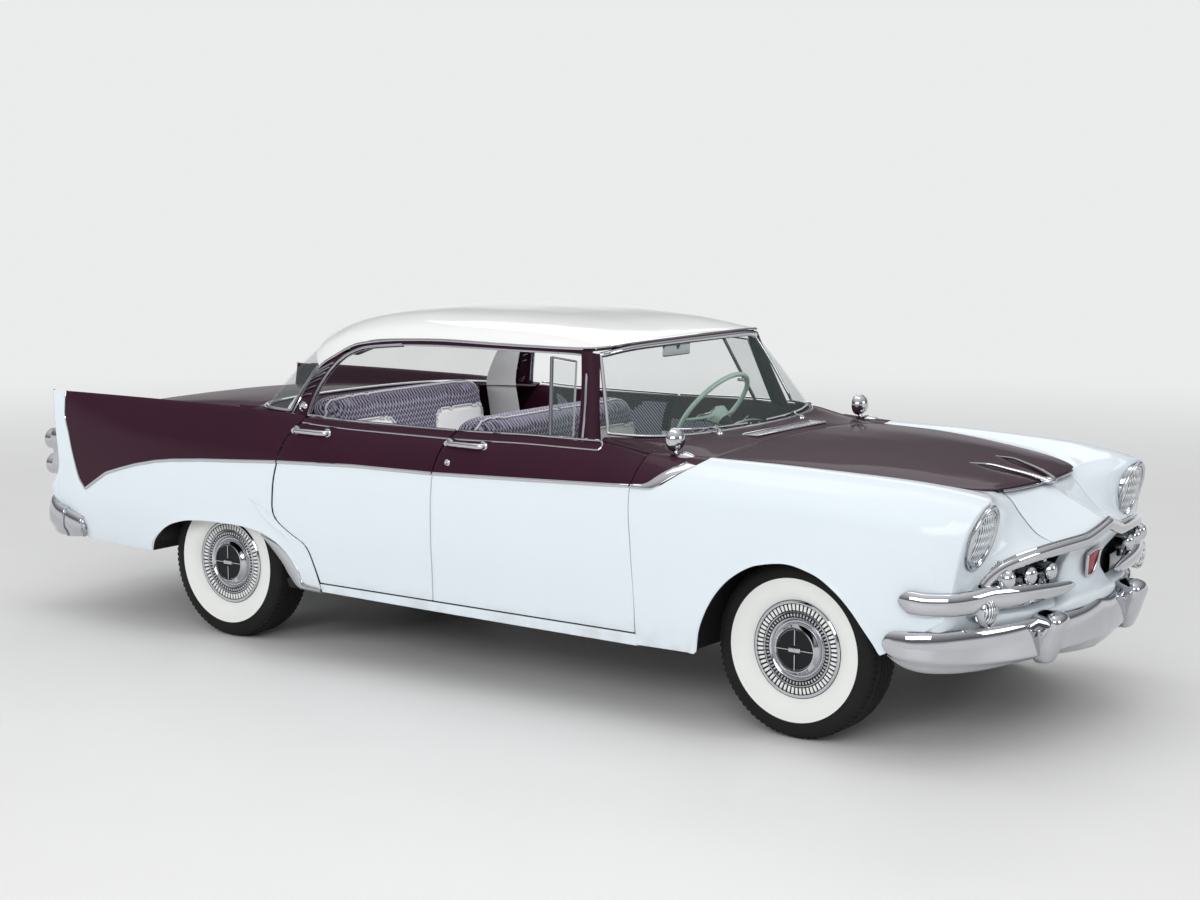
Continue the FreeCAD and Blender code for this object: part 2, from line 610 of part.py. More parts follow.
# ---------------------------------------------------------------- windshield and rear window
def pane(low_plan, low_z, high_plan, high_z, thickness):
    """Glass between a bent line on a low plane and one on a high plane; plans are
    (x, y) points of the left half from the middle outwards, thickness to the inside."""
    wires = []
    for plan, z in ((low_plan, low_z), (high_plan, high_z)):
        outer = [(x, -y) for x, y in plan[:0:-1]] + list(plan)
        inner = []
        for x, y in outer:
            side = 1 if plan[0][0] > 0 else -1
            inner.append((x - side * thickness, y * (1 - thickness / 740)))
        wires.append(polygon([(along(x), across(y), z) for x, y in outer + inner[::-1]]))
    return Part.makeLoft(wires, True, True)


def under_roof(glass):
    """The part of a pane below the roof panel."""
    pieces = glass.cut(roof_loft(2 * seat_gap)).Solids
    return max(pieces, key=lambda piece: piece.Volume)


deck_top = up(1061)
feature("windshield", under_roof(pane(
    ((1020, 0), (960, 470), (800, 670), (722, 705)), belt + seat_gap,
    ((640, 0), (635, 400), (630, 540), (628, 590)), up(1480), size("glass_thickness"))))
feature("rear_window", under_roof(pane(
    ((-1415, 0), (-1370, 520), (-1180, 700), (-1075, 750)), deck_top + 1,
    ((-1005, 0), (-995, 400), (-975, 520), (-965, 570)), up(1480), size("glass_thickness"))))

# ---------------------------------------------------------------- rear deck and shelf
lid_edge = size("trunk_half_width")
deck_rear = lid_front + gap
deck_front = along(-1095)
deck = feature("half_deck", prism(
    ((deck_front, 0), (deck_front, across(715)), (along(-1300), lid_edge), (deck_rear, lid_edge), (deck_rear, 0)),
    "xy", up(1020), deck_top))
bulkhead_low = trunk_floor_z + 20 + seat_gap
bulkhead = box("bulkhead", f"{along(-1120)}", "0", f"{bulkhead_low}", "15", f"{trunk_floor_half}",
               f"{up(1020) - bulkhead_low}")
both("rear_deck", fuse("half_rear_deck", deck, bulkhead))

tail_low = up(460)
lid_low = up(665)
tail_panel = box("tail_panel", "Sizes.tail_face", f"-{lid_side}", str(tail_low), "30", f"2 * {lid_side}",
                 f"{lid_low - 15 - tail_low}")
plate_holes = []
for side_y in (-1, 1):
    for side_z in (0, 1):
        plate_holes.append(cylinder(f"plate_hole_{side_y + 1}_{side_z}", "Sizes.tail_face - 10",
                                    f"{side_y} * Sizes.plate_hole_spacing / 2",
                                    f"{tail_low + 35} + {side_z} * Sizes.plate_hole_rise",
                                    "Sizes.plate_hole_radius", "60", "x"))
lid_seal = box("lid_seal", "Sizes.tail_face - 7", "-Sizes.trunk_half_width + 40", f"{lid_low - 20}", "10",
               "2 * Sizes.trunk_half_width - 80", "22")
cut("rear_panel", fuse("tail_panel_with_seal", tail_panel, lid_seal), fuse("plate_holes", *plate_holes))

# ---------------------------------------------------------------- nose panel, grille and lamps
NOSE = ((0, 480), (770, 480), (800, 600), (788, 900), (768, 948), (690, 962), (0, 962))
nose_face = size("nose_face")
nose_blank = prism([(across(y), up(z)) for y, z in NOSE], "yz", nose_face - 30, nose_face)
hood_lip_y = size("headlight_offset") - size("headlight_radius") - 27
hood_lip_z = up(812)
grille_hole = Part.makeBox(100, across(600), 190, Vector(nose_face - 60, 0, up(565)))
hood_hole = Part.makeBox(100, hood_lip_y + 10 + gap, 400, Vector(nose_face - 60, 0, hood_lip_z - gap))
half_nose = feature("half_nose", nose_blank.cut(grille_hole).cut(hood_hole).cut(lamp_way))
radiator_x = nose_face - 200
RADIATOR_HEIGHT = 480
radiator = box("radiator", str(radiator_x), "0", f"{rail_top} + Sizes.seat_gap", "60", "330", str(RADIATOR_HEIGHT))
radiator_tie = box("radiator_tie", str(radiator_x), "0", "500", "200", "20", "40")

headlight_can = cylinder("headlight_can", "Sizes.nose_face - 90", "Sizes.headlight_offset",
                         "Sizes.headlight_height", "Sizes.headlight_radius", "85", "x")
pair("headlights", headlight_can)

BAR_PLAN = (
    # x, y of the lower grille bar's front face
    (2560, 0),
    (2535, 420),
    (2507, 640),
    (2482, 788),
    (2408, 864),
    (2295, 908),
    (2190, 928),
)
bar_back = nose_face + seat_gap
wing = plan_view(BAR_PLAN + ((2184, 910), (2270, 884), (2375, 839))) + [(bar_back, across(806)), (bar_back, 0)]
lower_bar = feature("lower_bar", prism(wing, "xy", up(585), up(635)))
bar_end = across(640)
upper_bar = feature("upper_bar", prism(
    ((along(2600), 0), (along(2560), across(350)), (nose_face + 45, bar_end), (bar_back, bar_end), (bar_back, 0)),
    "xy", up(757), up(790)))
teeth = []
for number, y in enumerate((170, 300, 430)):
    teeth.append(box(f"tooth_{number}", "Sizes.nose_face + 20", f"{across(y)}", f"{up(630)}", "60", "50",
                     f"{up(760) - up(630)}"))
boss = box("boss", "Sizes.nose_face + 10", "-90", f"{up(620)}", "120", "180", "145")
half_grille = fuse("half_grille", lower_bar, upper_bar, *teeth)
fuse("grille", half_grille, mirrored(half_grille), boss)

lamp_y = across(610)
LAMP_RADIUS = 38
lamp_seat = carry([(y, x) for x, y in plan_view(BAR_PLAN)], lamp_y - LAMP_RADIUS) + 3 * seat_gap
parking_lamp = cylinder("parking_lamp", f"{lamp_seat}", f"{lamp_y}", f"{up(610)}", str(LAMP_RADIUS), "26", "x")
pair("parking_lamps", parking_lamp)

taillights = []
for number, z in enumerate((720, 845)):
    taillights.append(cylinder(f"taillight_{number}", "Sizes.tail_face - 55", f"{across(795)}", f"{up(z)}",
                               "Sizes.taillight_radius", "55 - Sizes.seat_gap", "x"))
group = doc.addObject("Part::Compound", "taillights")
group.Links = taillights + [mirrored(lamp) for lamp in taillights]

# ---------------------------------------------------------------- bumpers
# Each row: distance in from the end and half width, at the face and at the back of the bar.
FRONT_BUMPER = (
    (0, 0, 60, 0),
    (8, 300, 66, 290),
    (80, 600, 130, 580),
    (190, 800, 222, 775),
    (330, 905, 340, 882),
    (560, 940, 560, 924),
)
REAR_BUMPER = (
    (0, 0, 60, 0),
    (6, 420, 66, 410),
    (42, 720, 100, 700),
    (120, 880, 150, 850),
    (252, 940, 252, 922),
    (420, 948, 420, 932),
)


def bumper(name, plan, end, facing, bottom, rail_end):
    """A wrapped bar with two guards and two irons that reach the frame."""
    outer = [(end - facing * face_in, across(face_y)) for face_in, face_y, back_in, back_y in plan]
    inner = [(end - facing * back_in, across(back_y)) for face_in, face_y, back_in, back_y in plan]
    bar_shape = feature(name + "_bar", prism(outer + inner[::-1], "xy", bottom, bottom + size("bumper_height")))
    guard_x = end - 70 if facing > 0 else end
    guard = box(name + "_guard", str(guard_x), "Sizes.guard_offset - 40", str(bottom + 10), "70", "80",
                "Sizes.bumper_height + 80")
    low, high = sorted((rail_end + facing * seat_gap, end - facing * 50))
    iron = box(name + "_iron", str(low), "Sizes.rail_centre - 20", str(bottom + 20), str(high - low), "40", "50")
    return both(name, fuse(name + "_half", bar_shape, guard, iron))


bumper("front_bumper", FRONT_BUMPER, front_end, 1, size("front_bumper_bottom"), RAIL_PROFILE[0][0])
bumper("rear_bumper", REAR_BUMPER, rear_end, -1, size("rear_bumper_bottom"), RAIL_PROFILE[-1][0])

# ---------------------------------------------------------------- hood and trunk lid
HOOD = (
    # x, edge y, edge z, crown z; the first row is at the cowl
    (1245, 672, 1036, 1072),
    (1839, 655, 1025, 1068),
    (2200, 620, 1009, 1050),
    (2400, 540, 992, 1030),
    (2465, 300, 1002, 1017),
)
hood_wires = []
for x, edge_y, edge_z, crown_z in HOOD:
    x, edge_y, edge_z, crown_z = along(x), across(edge_y), up(edge_z), up(crown_z)
    outer = ((edge_y, edge_z), (edge_y * 0.6, edge_z + 0.7 * (crown_z - edge_z)), (0, crown_z),
             (-edge_y * 0.6, edge_z + 0.7 * (crown_z - edge_z)), (-edge_y, edge_z))
    inner = [(y, z - 24) for y, z in outer]
    hood_wires.append(polygon([(x, y, z) for y, z in list(outer) + inner[::-1]]))
hood_top = Part.makeLoft(hood_wires, True, True)
NOSE_PLATE = ((2380, 990), (2460, 992), (2505, 812), (2480, 812), (2425, 965), (2380, 965))
nose_plate = prism(side_view(NOSE_PLATE), "xz", -hood_lip_y, hood_lip_y)
feature("hood", hood_top.fuse(nose_plate).removeSplitter())
stop_column = Part.makeCylinder(16, 400, Vector(radiator_x + 30, 250, rail_top + RADIATOR_HEIGHT - 10))
hood_lowered = hood_top.copy()
hood_lowered.translate(Vector(0, 0, -seat_gap))
hood_stop = feature("hood_stop", min(stop_column.cut(hood_lowered).Solids, key=lambda piece: piece.CenterOfMass.z))
both("nose_panel", fuse("half_nose_panel", half_nose, radiator, radiator_tie, hood_stop))

TRUNK_TAIL = (
    # x ahead of the tail face, z round the lid's rear part, over the skin and back under it
    (160, 1005),
    (30, 960),
    (-35, 665),
    (-8, 665),
    (52, 940),
    (170, 980),
)
lid_middle = along(-1900)
trunk_profile = [(lid_front, deck_top), (lid_middle, up(1048))]
trunk_profile += [(size("tail_face") + x, up(z)) for x, z in TRUNK_TAIL]
trunk_profile += [(lid_middle, up(1023)), (lid_front, deck_top - 25)]
feature("trunk_lid", prism(trunk_profile, "xz", -lid_edge, lid_edge))

# ---------------------------------------------------------------- cabin
FRONT_SEAT = (
    # x, z round the front bench, from its front foot
    (520, 550),
    (520, 690),
    (50, 665),
    (-40, 1090),
    (-140, 1110),
    (-180, 1070),
    (-120, 550),
)
REAR_SEAT = (
    # x ahead of the trunk floor, z round the rear bench's back
    (30, 665),
    (-65, 1090),
    (-140, 1110),
    (-195, 1070),
)
SEAT_LOW = 550


def bench(name, outline, half, foot_x, foot_length):
    """A bench as one solid on two runners that stand on the floor."""
    cushion = feature(name + "_cushion", prism(outline, "xz", -half, half))
    runner = box(name + "_runner", str(foot_x), str(half - 220), f"{floor_top} + Sizes.seat_gap",
                 str(foot_length), "60", f"{SEAT_LOW + 2 - floor_top}")
    return fuse(name, cushion, runner, mirrored(runner))


bench("front_seat", [(along(x), z) for x, z in FRONT_SEAT], size("seat_half_width"), along(-60), 500)
rear_seat_front = along(-400)
over_step = trunk_floor_z + 45
rear_bench = [(rear_seat_front, SEAT_LOW), (rear_seat_front, 690)]
rear_bench += [(floor_rear + x, z) for x, z in REAR_SEAT]
rear_bench += [(floor_rear - 180, over_step), (floor_rear + 8, over_step), (floor_rear + 8, SEAT_LOW)]
rear_foot = floor_rear + 20
bench("rear_seat", rear_bench, trunk_floor_half - 5, rear_foot, rear_seat_front - 20 - rear_foot)

column_turn = math.radians(size("column_angle"))
wheel_centre = Vector(along(560), size("steering_offset"), 1085)
down_column = Vector(math.cos(column_turn), 0, -math.sin(column_turn))
column_end = wheel_centre + down_column * ((size("door_front") - wheel_centre.x) / down_column.x)
column = Part.makeCylinder(28, (column_end - wheel_centre).Length - 64, wheel_centre + down_column * 45, down_column)
column_face = firewall_rear - seat_gap
column_foot = Part.makeBox(18, 90, 120, Vector(column_face - 18, size("steering_offset") - 45, column_end.z - 60))
trim = Part.makeBox(60, 120, 200, Vector(column_face, size("steering_offset") - 60, column_end.z - 100))
feature("steering_column", column.fuse(column_foot).cut(trim).removeSplitter())

dash_top = cowl_low - seat_gap
DASH = ((820, 880), (760, 900), (760, 990))
dash_profile = side_view(DASH) + [(along(800), dash_top), (along(960), dash_top), (along(960), up(880))]
dash_half = across(716)
dash = prism(dash_profile, "xz", -dash_half, dash_half)
column_way = Part.makeCylinder(28.5, 900, wheel_centre, down_column)
dash_tie = Part.makeBox(column_face - along(950), 60, 40, Vector(along(950), -across(600), up(900)))
feature("dashboard", dash.fuse(dash_tie).cut(column_way).removeSplitter())

ring = Part.makeTorus(size("steering_wheel_radius"), 12, wheel_centre, down_column)
hub = Part.makeCylinder(34, 60, wheel_centre - down_column * 16, down_column)
spoke_way = Vector(0, 1, 0)
spoke = Part.makeCylinder(9, 2 * size("steering_wheel_radius"),
                          wheel_centre - spoke_way * size("steering_wheel_radius"), spoke_way)
feature("steering_wheel", ring.fuse(hub).fuse(spoke).removeSplitter())

spot_x = f"{along(1093)}"
spot_y = f"{across(745)}"
lamp_post = cylinder("lamp_post", spot_x, spot_y, f"{up(1033.6)}", "12", "50", "z")
lamp_head = doc.addObject("Part::Sphere", "lamp_head")
bind(lamp_head, Radius="52", Placement__Base__x=spot_x, Placement__Base__y=spot_y,
     Placement__Base__z=f"{up(1033.6)} + 71.4")
pair("spotlights", fuse("spotlight", lamp_post, lamp_head))


# ---------------------------------------------------------------- wheels and tyres
def wheel_shape(profile):
    """Turn a closed (outward, radius) outline about the Y axis."""
    face = Part.Face(polygon([(radius, outward, 0) for outward, radius in profile]))
    return face.revolve(Vector(), Vector(0, 1, 0), 360)


half_tyre = size("tyre_width") / 2
rim = size("rim_radius")
TYRE = (
    # outward, radius round the tyre's section
    (-70, rim), (-half_tyre + 4, rim + 40), (-half_tyre, rim + 80), (-half_tyre + 14, size("tyre_radius") - 26),
    (-half_tyre + 38, size("tyre_radius") - 4), (-30, size("tyre_radius")), (30, size("tyre_radius")),
    (half_tyre - 38, size("tyre_radius") - 4), (half_tyre - 14, size("tyre_radius") - 26),
    (half_tyre, rim + 80), (half_tyre - 4, rim + 40), (70, rim))
bore = size("spindle_radius") + size("spindle_fit")
rim_seat = rim - size("seat_gap")
WHEEL = (
    # outward, radius round the rim, its disc, the hub and the cover
    (-70, rim_seat), (-70, rim - 20), (22, rim - 28), (22, 70), (-28, 62), (-28, bore), (28, bore),
    (28, 62), (62, 62), (72, 20), (72, 0.01), (80, 0.01), (78, 60), (62, 120), (84, 176), (76, rim_seat))

corners = (
    ("front_left", size("front_axle"), size("track_front") / 2, 1),
    ("front_right", size("front_axle"), -size("track_front") / 2, -1),
    ("rear_left", rear_axle, size("track_rear") / 2, 1),
    ("rear_right", rear_axle, -size("track_rear") / 2, -1),
)
for corner, x, y, side in corners:
    for kind, profile in (("tyre", TYRE), ("wheel", WHEEL)):
        shape = wheel_shape([(side * outward, radius) for outward, radius in profile])
        piece = feature(f"{kind}_{corner}", shape)
        piece.Placement = FreeCAD.Placement(Vector(x, y, size("tyre_radius")), FreeCAD.Rotation())

# ---------------------------------------------------------------- check and write
NODES = (
    "chassis_frame", "front_suspension", "steering_knuckle_left", "steering_knuckle_right", "rear_axle",
    "engine_and_gearbox", "fuel_tank_and_exhaust", "floor_pan", "front_fenders", "rear_quarters",
    "front_door_left", "front_door_right", "rear_door_left", "rear_door_right",
    "vent_window_left", "vent_window_right", "cowl", "wheelhouses", "roof", "windshield", "rear_window",
    "rear_deck", "rear_panel", "nose_panel", "headlights", "grille", "parking_lamps", "taillights",
    "front_bumper", "rear_bumper", "hood", "trunk_lid", "front_seat", "rear_seat", "steering_column",
    "dashboard", "steering_wheel", "spotlights",
    "tyre_front_left", "tyre_front_right", "tyre_rear_left", "tyre_rear_right",
    "wheel_front_left", "wheel_front_right", "wheel_rear_left", "wheel_rear_right",
)
doc.recompute()
for obj in doc.Objects:
    if any(word in ("Invalid", "Error") for word in obj.State):
        raise RuntimeError(f"{obj.Label} did not build: {obj.State}")
os.makedirs("parts", exist_ok=True)
for node in NODES:
    shape = doc.getObjectsByLabel(node)[0].Shape
    if shape.isNull() or not shape.isValid():
        raise RuntimeError(f"{node} has no valid shape")
    shape.exportStep(f"parts/{node}.step")
    box_text = shape.BoundBox
    print(f"{node:26s} solids {len(shape.Solids)}  volume {shape.Volume / 1e6:9.2f} l  "
          f"x {box_text.XMin:7.1f} {box_text.XMax:7.1f}  y {box_text.YMin:7.1f} {box_text.YMax:7.1f}  "
          f"z {box_text.ZMin:7.1f} {box_text.ZMax:7.1f}")
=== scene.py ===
# %% [markdown]
# # A 1950s four-door hardtop car
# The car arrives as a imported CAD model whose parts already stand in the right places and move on
# their joints. This lesson dresses it: each cell models one piece of the real car, or mixes one of
# its finishes. Positions are written in millimetres and turned into metres once, in `mm`.

# %% Load the frame
import math
import bpy
import numpy as np
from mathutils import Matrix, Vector
from mathutils.kdtree import KDTree


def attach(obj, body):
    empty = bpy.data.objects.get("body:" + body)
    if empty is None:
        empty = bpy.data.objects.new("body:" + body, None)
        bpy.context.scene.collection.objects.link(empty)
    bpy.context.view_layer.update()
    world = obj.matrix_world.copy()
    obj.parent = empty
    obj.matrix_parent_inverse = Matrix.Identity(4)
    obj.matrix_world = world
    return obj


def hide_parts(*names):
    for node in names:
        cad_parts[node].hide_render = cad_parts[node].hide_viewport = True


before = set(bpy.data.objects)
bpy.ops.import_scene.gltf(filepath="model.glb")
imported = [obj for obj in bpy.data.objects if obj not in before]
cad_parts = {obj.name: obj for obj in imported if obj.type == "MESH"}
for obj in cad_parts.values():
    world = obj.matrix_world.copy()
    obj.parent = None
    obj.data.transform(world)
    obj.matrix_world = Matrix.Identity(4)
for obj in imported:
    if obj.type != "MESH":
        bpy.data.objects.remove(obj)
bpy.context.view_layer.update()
mm = 0.001
TURN = 2 * math.pi
SIDES = (("right", -1), ("left", 1))

# %% [markdown]
# ## Curves through a few points
# A body stylist draws a car with long smooth lines through a few chosen points. `Line` does that:
# a monotone cubic never swings past its points, so a table with a handful of rows is enough.
# `Path` joins such lines end to end, and keeps a sharp corner where two of them meet.

# %% Smooth lines
class Line:
    """A smooth curve of one or more values over a growing station."""

    def __init__(self, stations, values):
        self.at, self.values = np.array(stations, float), np.array(values, float)
        if self.values.ndim == 1:
            self.values = self.values[:, None]
        step = np.diff(self.at)[:, None]
        rise = np.diff(self.values, axis=0) / step
        slope = np.vstack([rise[:1], np.zeros((len(step) - 1, rise.shape[1])), rise[-1:]])
        before, after = rise[:-1], rise[1:]
        same = before * after > 0
        slope[1:-1][same] = 2 * before[same] * after[same] / (before[same] + after[same])
        self.slope, self.step = slope, step

    def __call__(self, station):
        i = int(np.clip(np.searchsorted(self.at, station) - 1, 0, len(self.step) - 1))
        h = self.step[i]
        t = (station - self.at[i]) / h[0]
        a, b, m, n = self.values[i], self.values[i + 1], self.slope[i] * h, self.slope[i + 1] * h
        if t < 0:
            return a + m * t
        if t > 1:
            return b + n * (t - 1)
        return a + (b - a) * t * t * (3 - 2 * t) + m * t * (1 - t) ** 2 - n * t * t * (1 - t)


class Path:
    """Runs of points joined end to end; round inside a run, sharp between runs."""

    def __init__(self, *runs):
        self.runs, self.ends, total = [], [0.0], 0.0
        for run in runs:
            points = np.array(run, float)
            length = np.concatenate([[0], np.cumsum(np.linalg.norm(np.diff(points, axis=0), axis=1))])
            self.runs.append(Line(length, points))
            total += length[-1]
            self.ends.append(total)

    def __call__(self, share):
        along = min(max(share, 0), 1) * self.ends[-1]
        for run, start, end in zip(self.runs, self.ends, self.ends[1:]):
            if along <= end or end == self.ends[-1]:
                return run(along - start)


def patch(bottom, top, left, right):
    """A surface stretched between four paths: place(u, v) with both from 0 to 1."""
    corners = bottom(0), bottom(1), top(0), top(1)

    def place(u, v):
        across = (1 - v) * bottom(u) + v * top(u)
        upward = (1 - u) * left(v) + u * right(v)
        twist = ((1 - v) * ((1 - u) * corners[0] + u * corners[1])
                 + v * ((1 - u) * corners[2] + u * corners[3]))
        return across + upward - twist
    return place


def four_corners(foot, toe, head, brow):
    """A flat patch between two lower and two upper corners."""
    return patch(Path([foot, toe]), Path([head, brow]), Path([foot, head]), Path([toe, brow]))

# %% [markdown]
# ## Modelling helpers
# Every sheet-metal panel starts as a grid primitive, is laid onto its surface, and gets a wall with
# Solidify and soft edges with Bevel. Operators act on all that is selected, so each helper
# deselects everything first.

# %% Mesh helpers
def deselect():
    if bpy.context.mode != "OBJECT":
        bpy.ops.object.mode_set(mode="OBJECT")
    bpy.ops.object.select_all(action="DESELECT")


def pick(piece):
    deselect()
    bpy.context.view_layer.objects.active = piece
    piece.select_set(True)
    return piece


def settle(piece):
    """Apply an object's own place, so that the shape holds it."""
    pick(piece)
    bpy.ops.object.transform_apply(location=True, rotation=True, scale=True)
    return piece


def modify(piece, kind, **settings):
    pick(piece)
    modifier = piece.modifiers.new(kind.title(), kind)
    for name, value in settings.items():
        setattr(modifier, name, value)
    bpy.ops.object.modifier_apply(modifier=modifier.name)
    return piece


def edit(piece, *steps):
    """Run edit-mode steps, each an operator with its settings, on the whole mesh."""
    pick(piece)
    bpy.ops.object.mode_set(mode="EDIT")
    bpy.ops.mesh.select_all(action="SELECT")
    for operator, settings in steps:
        operator(**settings)
    bpy.ops.object.mode_set(mode="OBJECT")
    return piece


def outward(piece):
    """Merge doubles and turn the faces of a closed shape outwards."""
    return edit(piece, (bpy.ops.mesh.remove_doubles, dict(threshold=0.00002)),
                (bpy.ops.mesh.normals_make_consistent, dict(inside=False)))


def soften(piece, angle=38):
    pick(piece)
    bpy.ops.object.shade_smooth_by_angle(angle=math.radians(angle))
    return piece


def grid(name, place, columns, rows):
    """A grid primitive laid on a surface: place(u, v) gives millimetres."""
    deselect()
    bpy.ops.mesh.primitive_grid_add(x_subdivisions=columns, y_subdivisions=rows, size=2)
    piece = bpy.context.object
    piece.name = name
    for point in piece.data.vertices:
        point.co = Vector(place((point.co.x + 1) / 2, (point.co.y + 1) / 2)) * mm
    return piece


def face_way(piece, way):
    """Turn an open sheet's faces so that on the whole they look one way."""
    total = Vector()
    for face in piece.data.polygons:
        total += face.normal * face.area
    if total.dot(Vector(way)) < 0:
        edit(piece, (bpy.ops.mesh.flip_normals, {}))
    return piece


def panel(name, place, columns, rows, way, wall=3, edge=1.2):
    """A pressed panel: a grid with a wall behind it and softened edges."""
    piece = face_way(grid(name, place, columns, rows), way)
    modify(piece, "SOLIDIFY", thickness=wall * mm, offset=-1)
    if edge:
        modify(piece, "BEVEL", width=edge * mm, segments=2, limit_method="ANGLE", angle_limit=math.radians(50))
    return soften(piece)


def joined(name, pieces):
    deselect()
    for piece in pieces:
        piece.select_set(True)
    bpy.context.view_layer.objects.active = pieces[0]
    bpy.ops.object.join()
    pieces[0].name = name
    return pieces[0]


def tube(name, points, radius, closed=False, flat=1.0, steps=96, sides=10, run=None):
    """A rod that follows points in millimetres; flat scales its height, radius may vary along it."""
    run = run or Path(list(points) + ([points[0]] if closed else []))
    ring = []
    for number in range(steps + (0 if closed else 1)):
        ring.append(Vector(run(number / steps)))
    count = len(ring)

    def place(u, v):
        turn = TURN * v
        i = min(int(round(u * (count - 1))), count - 1)
        ahead = ring[(i + 1) % count] if closed or i + 1 < count else ring[i]
        behind = ring[i - 1] if closed or i else ring[i]
        way = (ahead - behind).normalized()
        side = way.cross(Vector((0, 0, 1)))
        side = side.normalized() if side.length > 0.05 else Vector((0, 1, 0))
        up = side.cross(way)
        size = radius(i / (count - 1)) if callable(radius) else radius
        return ring[i] + size * (side * math.cos(turn) + up * flat * math.sin(turn))
    piece = grid(name, place, count - 1, sides)
    if closed:
        edit(piece, (bpy.ops.mesh.remove_doubles, dict(threshold=0.00001)))
        return soften(bridge_open_ends(piece))
    outward(piece)
    return soften(cap_open_ends(piece))


def cap_open_ends(piece):
    edit(piece, (bpy.ops.mesh.select_all, dict(action="DESELECT")),
         (bpy.ops.mesh.select_non_manifold, {}), (bpy.ops.mesh.edge_face_add, {}))
    return outward(piece)


def bridge_open_ends(piece):
    edit(piece, (bpy.ops.mesh.select_all, dict(action="DESELECT")),
         (bpy.ops.mesh.select_non_manifold, {}), (bpy.ops.mesh.bridge_edge_loops, {}))
    return outward(piece)


def turned(name, profile, centre, axis="y", steps=64, side=1):
    """A lathe piece: a closed loop of (outward, radius) points in millimetres, spun about an axis."""
    deselect()
    bpy.ops.mesh.primitive_circle_add(vertices=len(profile), fill_type="NOTHING")
    piece = bpy.context.object
    piece.name = name
    for point, (out, radius) in zip(piece.data.vertices, profile):
        point.co = Vector((radius, out, 0)) * mm
    edit(piece, (bpy.ops.mesh.spin, dict(steps=steps, angle=TURN, center=(0, 0, 0), axis=(0, 1, 0))))
    for point in piece.data.vertices:
        x, out, z = point.co.x, point.co.y * side, point.co.z
        way = {"y": (x, out, z), "x": (out, x, z), "z": (x, z, out)}[axis]
        point.co = Vector(way) + Vector(centre) * mm
    return soften(outward(piece))


def block(name, low, high, bevel=3, segments=3):
    """A box primitive at its size and place, with rounded edges."""
    deselect()
    middle = [(a + b) / 2 * mm for a, b in zip(low, high)]
    bpy.ops.mesh.primitive_cube_add(size=1, location=middle)
    piece = bpy.context.object
    piece.name = name
    piece.scale = [(b - a) * mm for a, b in zip(low, high)]
    settle(piece)
    if bevel:
        modify(piece, "BEVEL", width=bevel * mm, segments=segments, limit_method="NONE")
    return soften(piece)


def dressed(piece, body, finish, slot=None, replaces=()):
    """Give a finished piece its body and its material; no finish keeps its own. The slot is not used."""
    if finish:
        piece.data.materials.clear()
        for material in (finish if isinstance(finish, (list, tuple)) else [finish]):
            piece.data.materials.append(material)
    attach(piece, body)
    if replaces:
        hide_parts(*replaces)
    return piece


def bright(name, parts, body="body", replaces=()):
    """Chrome parts joined into one piece."""
    return dressed(joined(name, parts), body, chrome, "chrome", replaces)

# %% [markdown]
# ## Shader maths as expressions
# A material is a small sum: colours, masks and bumps worked out from where a point lies. `Wire`
# wraps a node's output so that `1 - mask` or `x * 3` adds the Math node by itself, and `Finish`
# builds one Principled material and adds any other node through a single method.

# %% Materials as expressions
class Wire:
    def __init__(self, finish, socket):
        self.finish, self.socket = finish, socket

    def sum(self, operation, *others):
        return self.finish.node("ShaderNodeMath", {"operation": operation}, self, *others)

    def __add__(self, other): return self.sum("ADD", other)
    def __radd__(self, other): return self.sum("ADD", other)
    def __sub__(self, other): return self.sum("SUBTRACT", other)
    def __rsub__(self, other): return self.finish.node("ShaderNodeMath", {"operation": "SUBTRACT"}, other, self)
    def __mul__(self, other): return self.sum("MULTIPLY", other)
    def __gt__(self, other): return self.sum("GREATER_THAN", other)
    def __lt__(self, other): return self.sum("LESS_THAN", other)

    def clamp(self, low=0.0, high=1.0):
        return self.finish.node("ShaderNodeClamp", {}, self, low, high)

    def step(self, low, high):
        """0 below low, 1 above high, soft between."""
        return self.finish.node("ShaderNodeMapRange", {"interpolation_type": "SMOOTHSTEP"}, self, low, high, 0.0, 1.0)


class Finish:
    """A Principled material; its sockets take numbers, colours or wires."""

    def __init__(self, name, **sockets):
        self.material = bpy.data.materials.new(name)
        self.material.use_nodes = True
        self.tree = self.material.node_tree
        self.shader = self.tree.nodes["Principled BSDF"]
        for socket, value in sockets.items():
            self.set(socket.replace("_", " "), value)
        self.place = self.node("ShaderNodeTexCoord", {}, out="Object")
        parts = self.node("ShaderNodeSeparateXYZ", {}, self.place, out=None)
        self.x, self.y, self.z = (Wire(self, parts.outputs[axis]) for axis in "XYZ")

    def put(self, socket, value):
        if isinstance(value, Wire):
            self.tree.links.new(value.socket, socket)
        elif hasattr(socket.default_value, "__len__") and len(socket.default_value) == 4 and len(value) == 3:
            socket.default_value = (*value, 1)
        else:
            socket.default_value = value

    def node(self, kind, settings, *values, out=0):
        made = self.tree.nodes.new(kind)
        for name, value in settings.items():
            setattr(made, name, value)
        sockets = [socket for socket in made.inputs if socket.enabled]
        for socket, value in zip(sockets, values):
            if value is not None:
                self.put(socket, value)
        return made if out is None else Wire(self, made.outputs[out])

    def set(self, socket, value):
        self.put(self.shader.inputs[socket], value)
        return self

    def noise(self, scale, detail):
        return self.node("ShaderNodeTexNoise", {}, self.place, scale, detail)

    def mix(self, share, low, high):
        """A colour between two colours or colour wires."""
        made = self.node("ShaderNodeMix", {"data_type": "RGBA"}, out=None)
        sockets = [socket for socket in made.inputs if socket.enabled]
        for socket, value in zip(sockets, (share, low, high)):
            self.put(socket, value)
        return Wire(self, [socket for socket in made.outputs if socket.enabled][0])

    def bump(self, height, strength, distance=0.001):
        return self.set("Normal", self.node("ShaderNodeBump", {}, strength, distance, None, height))

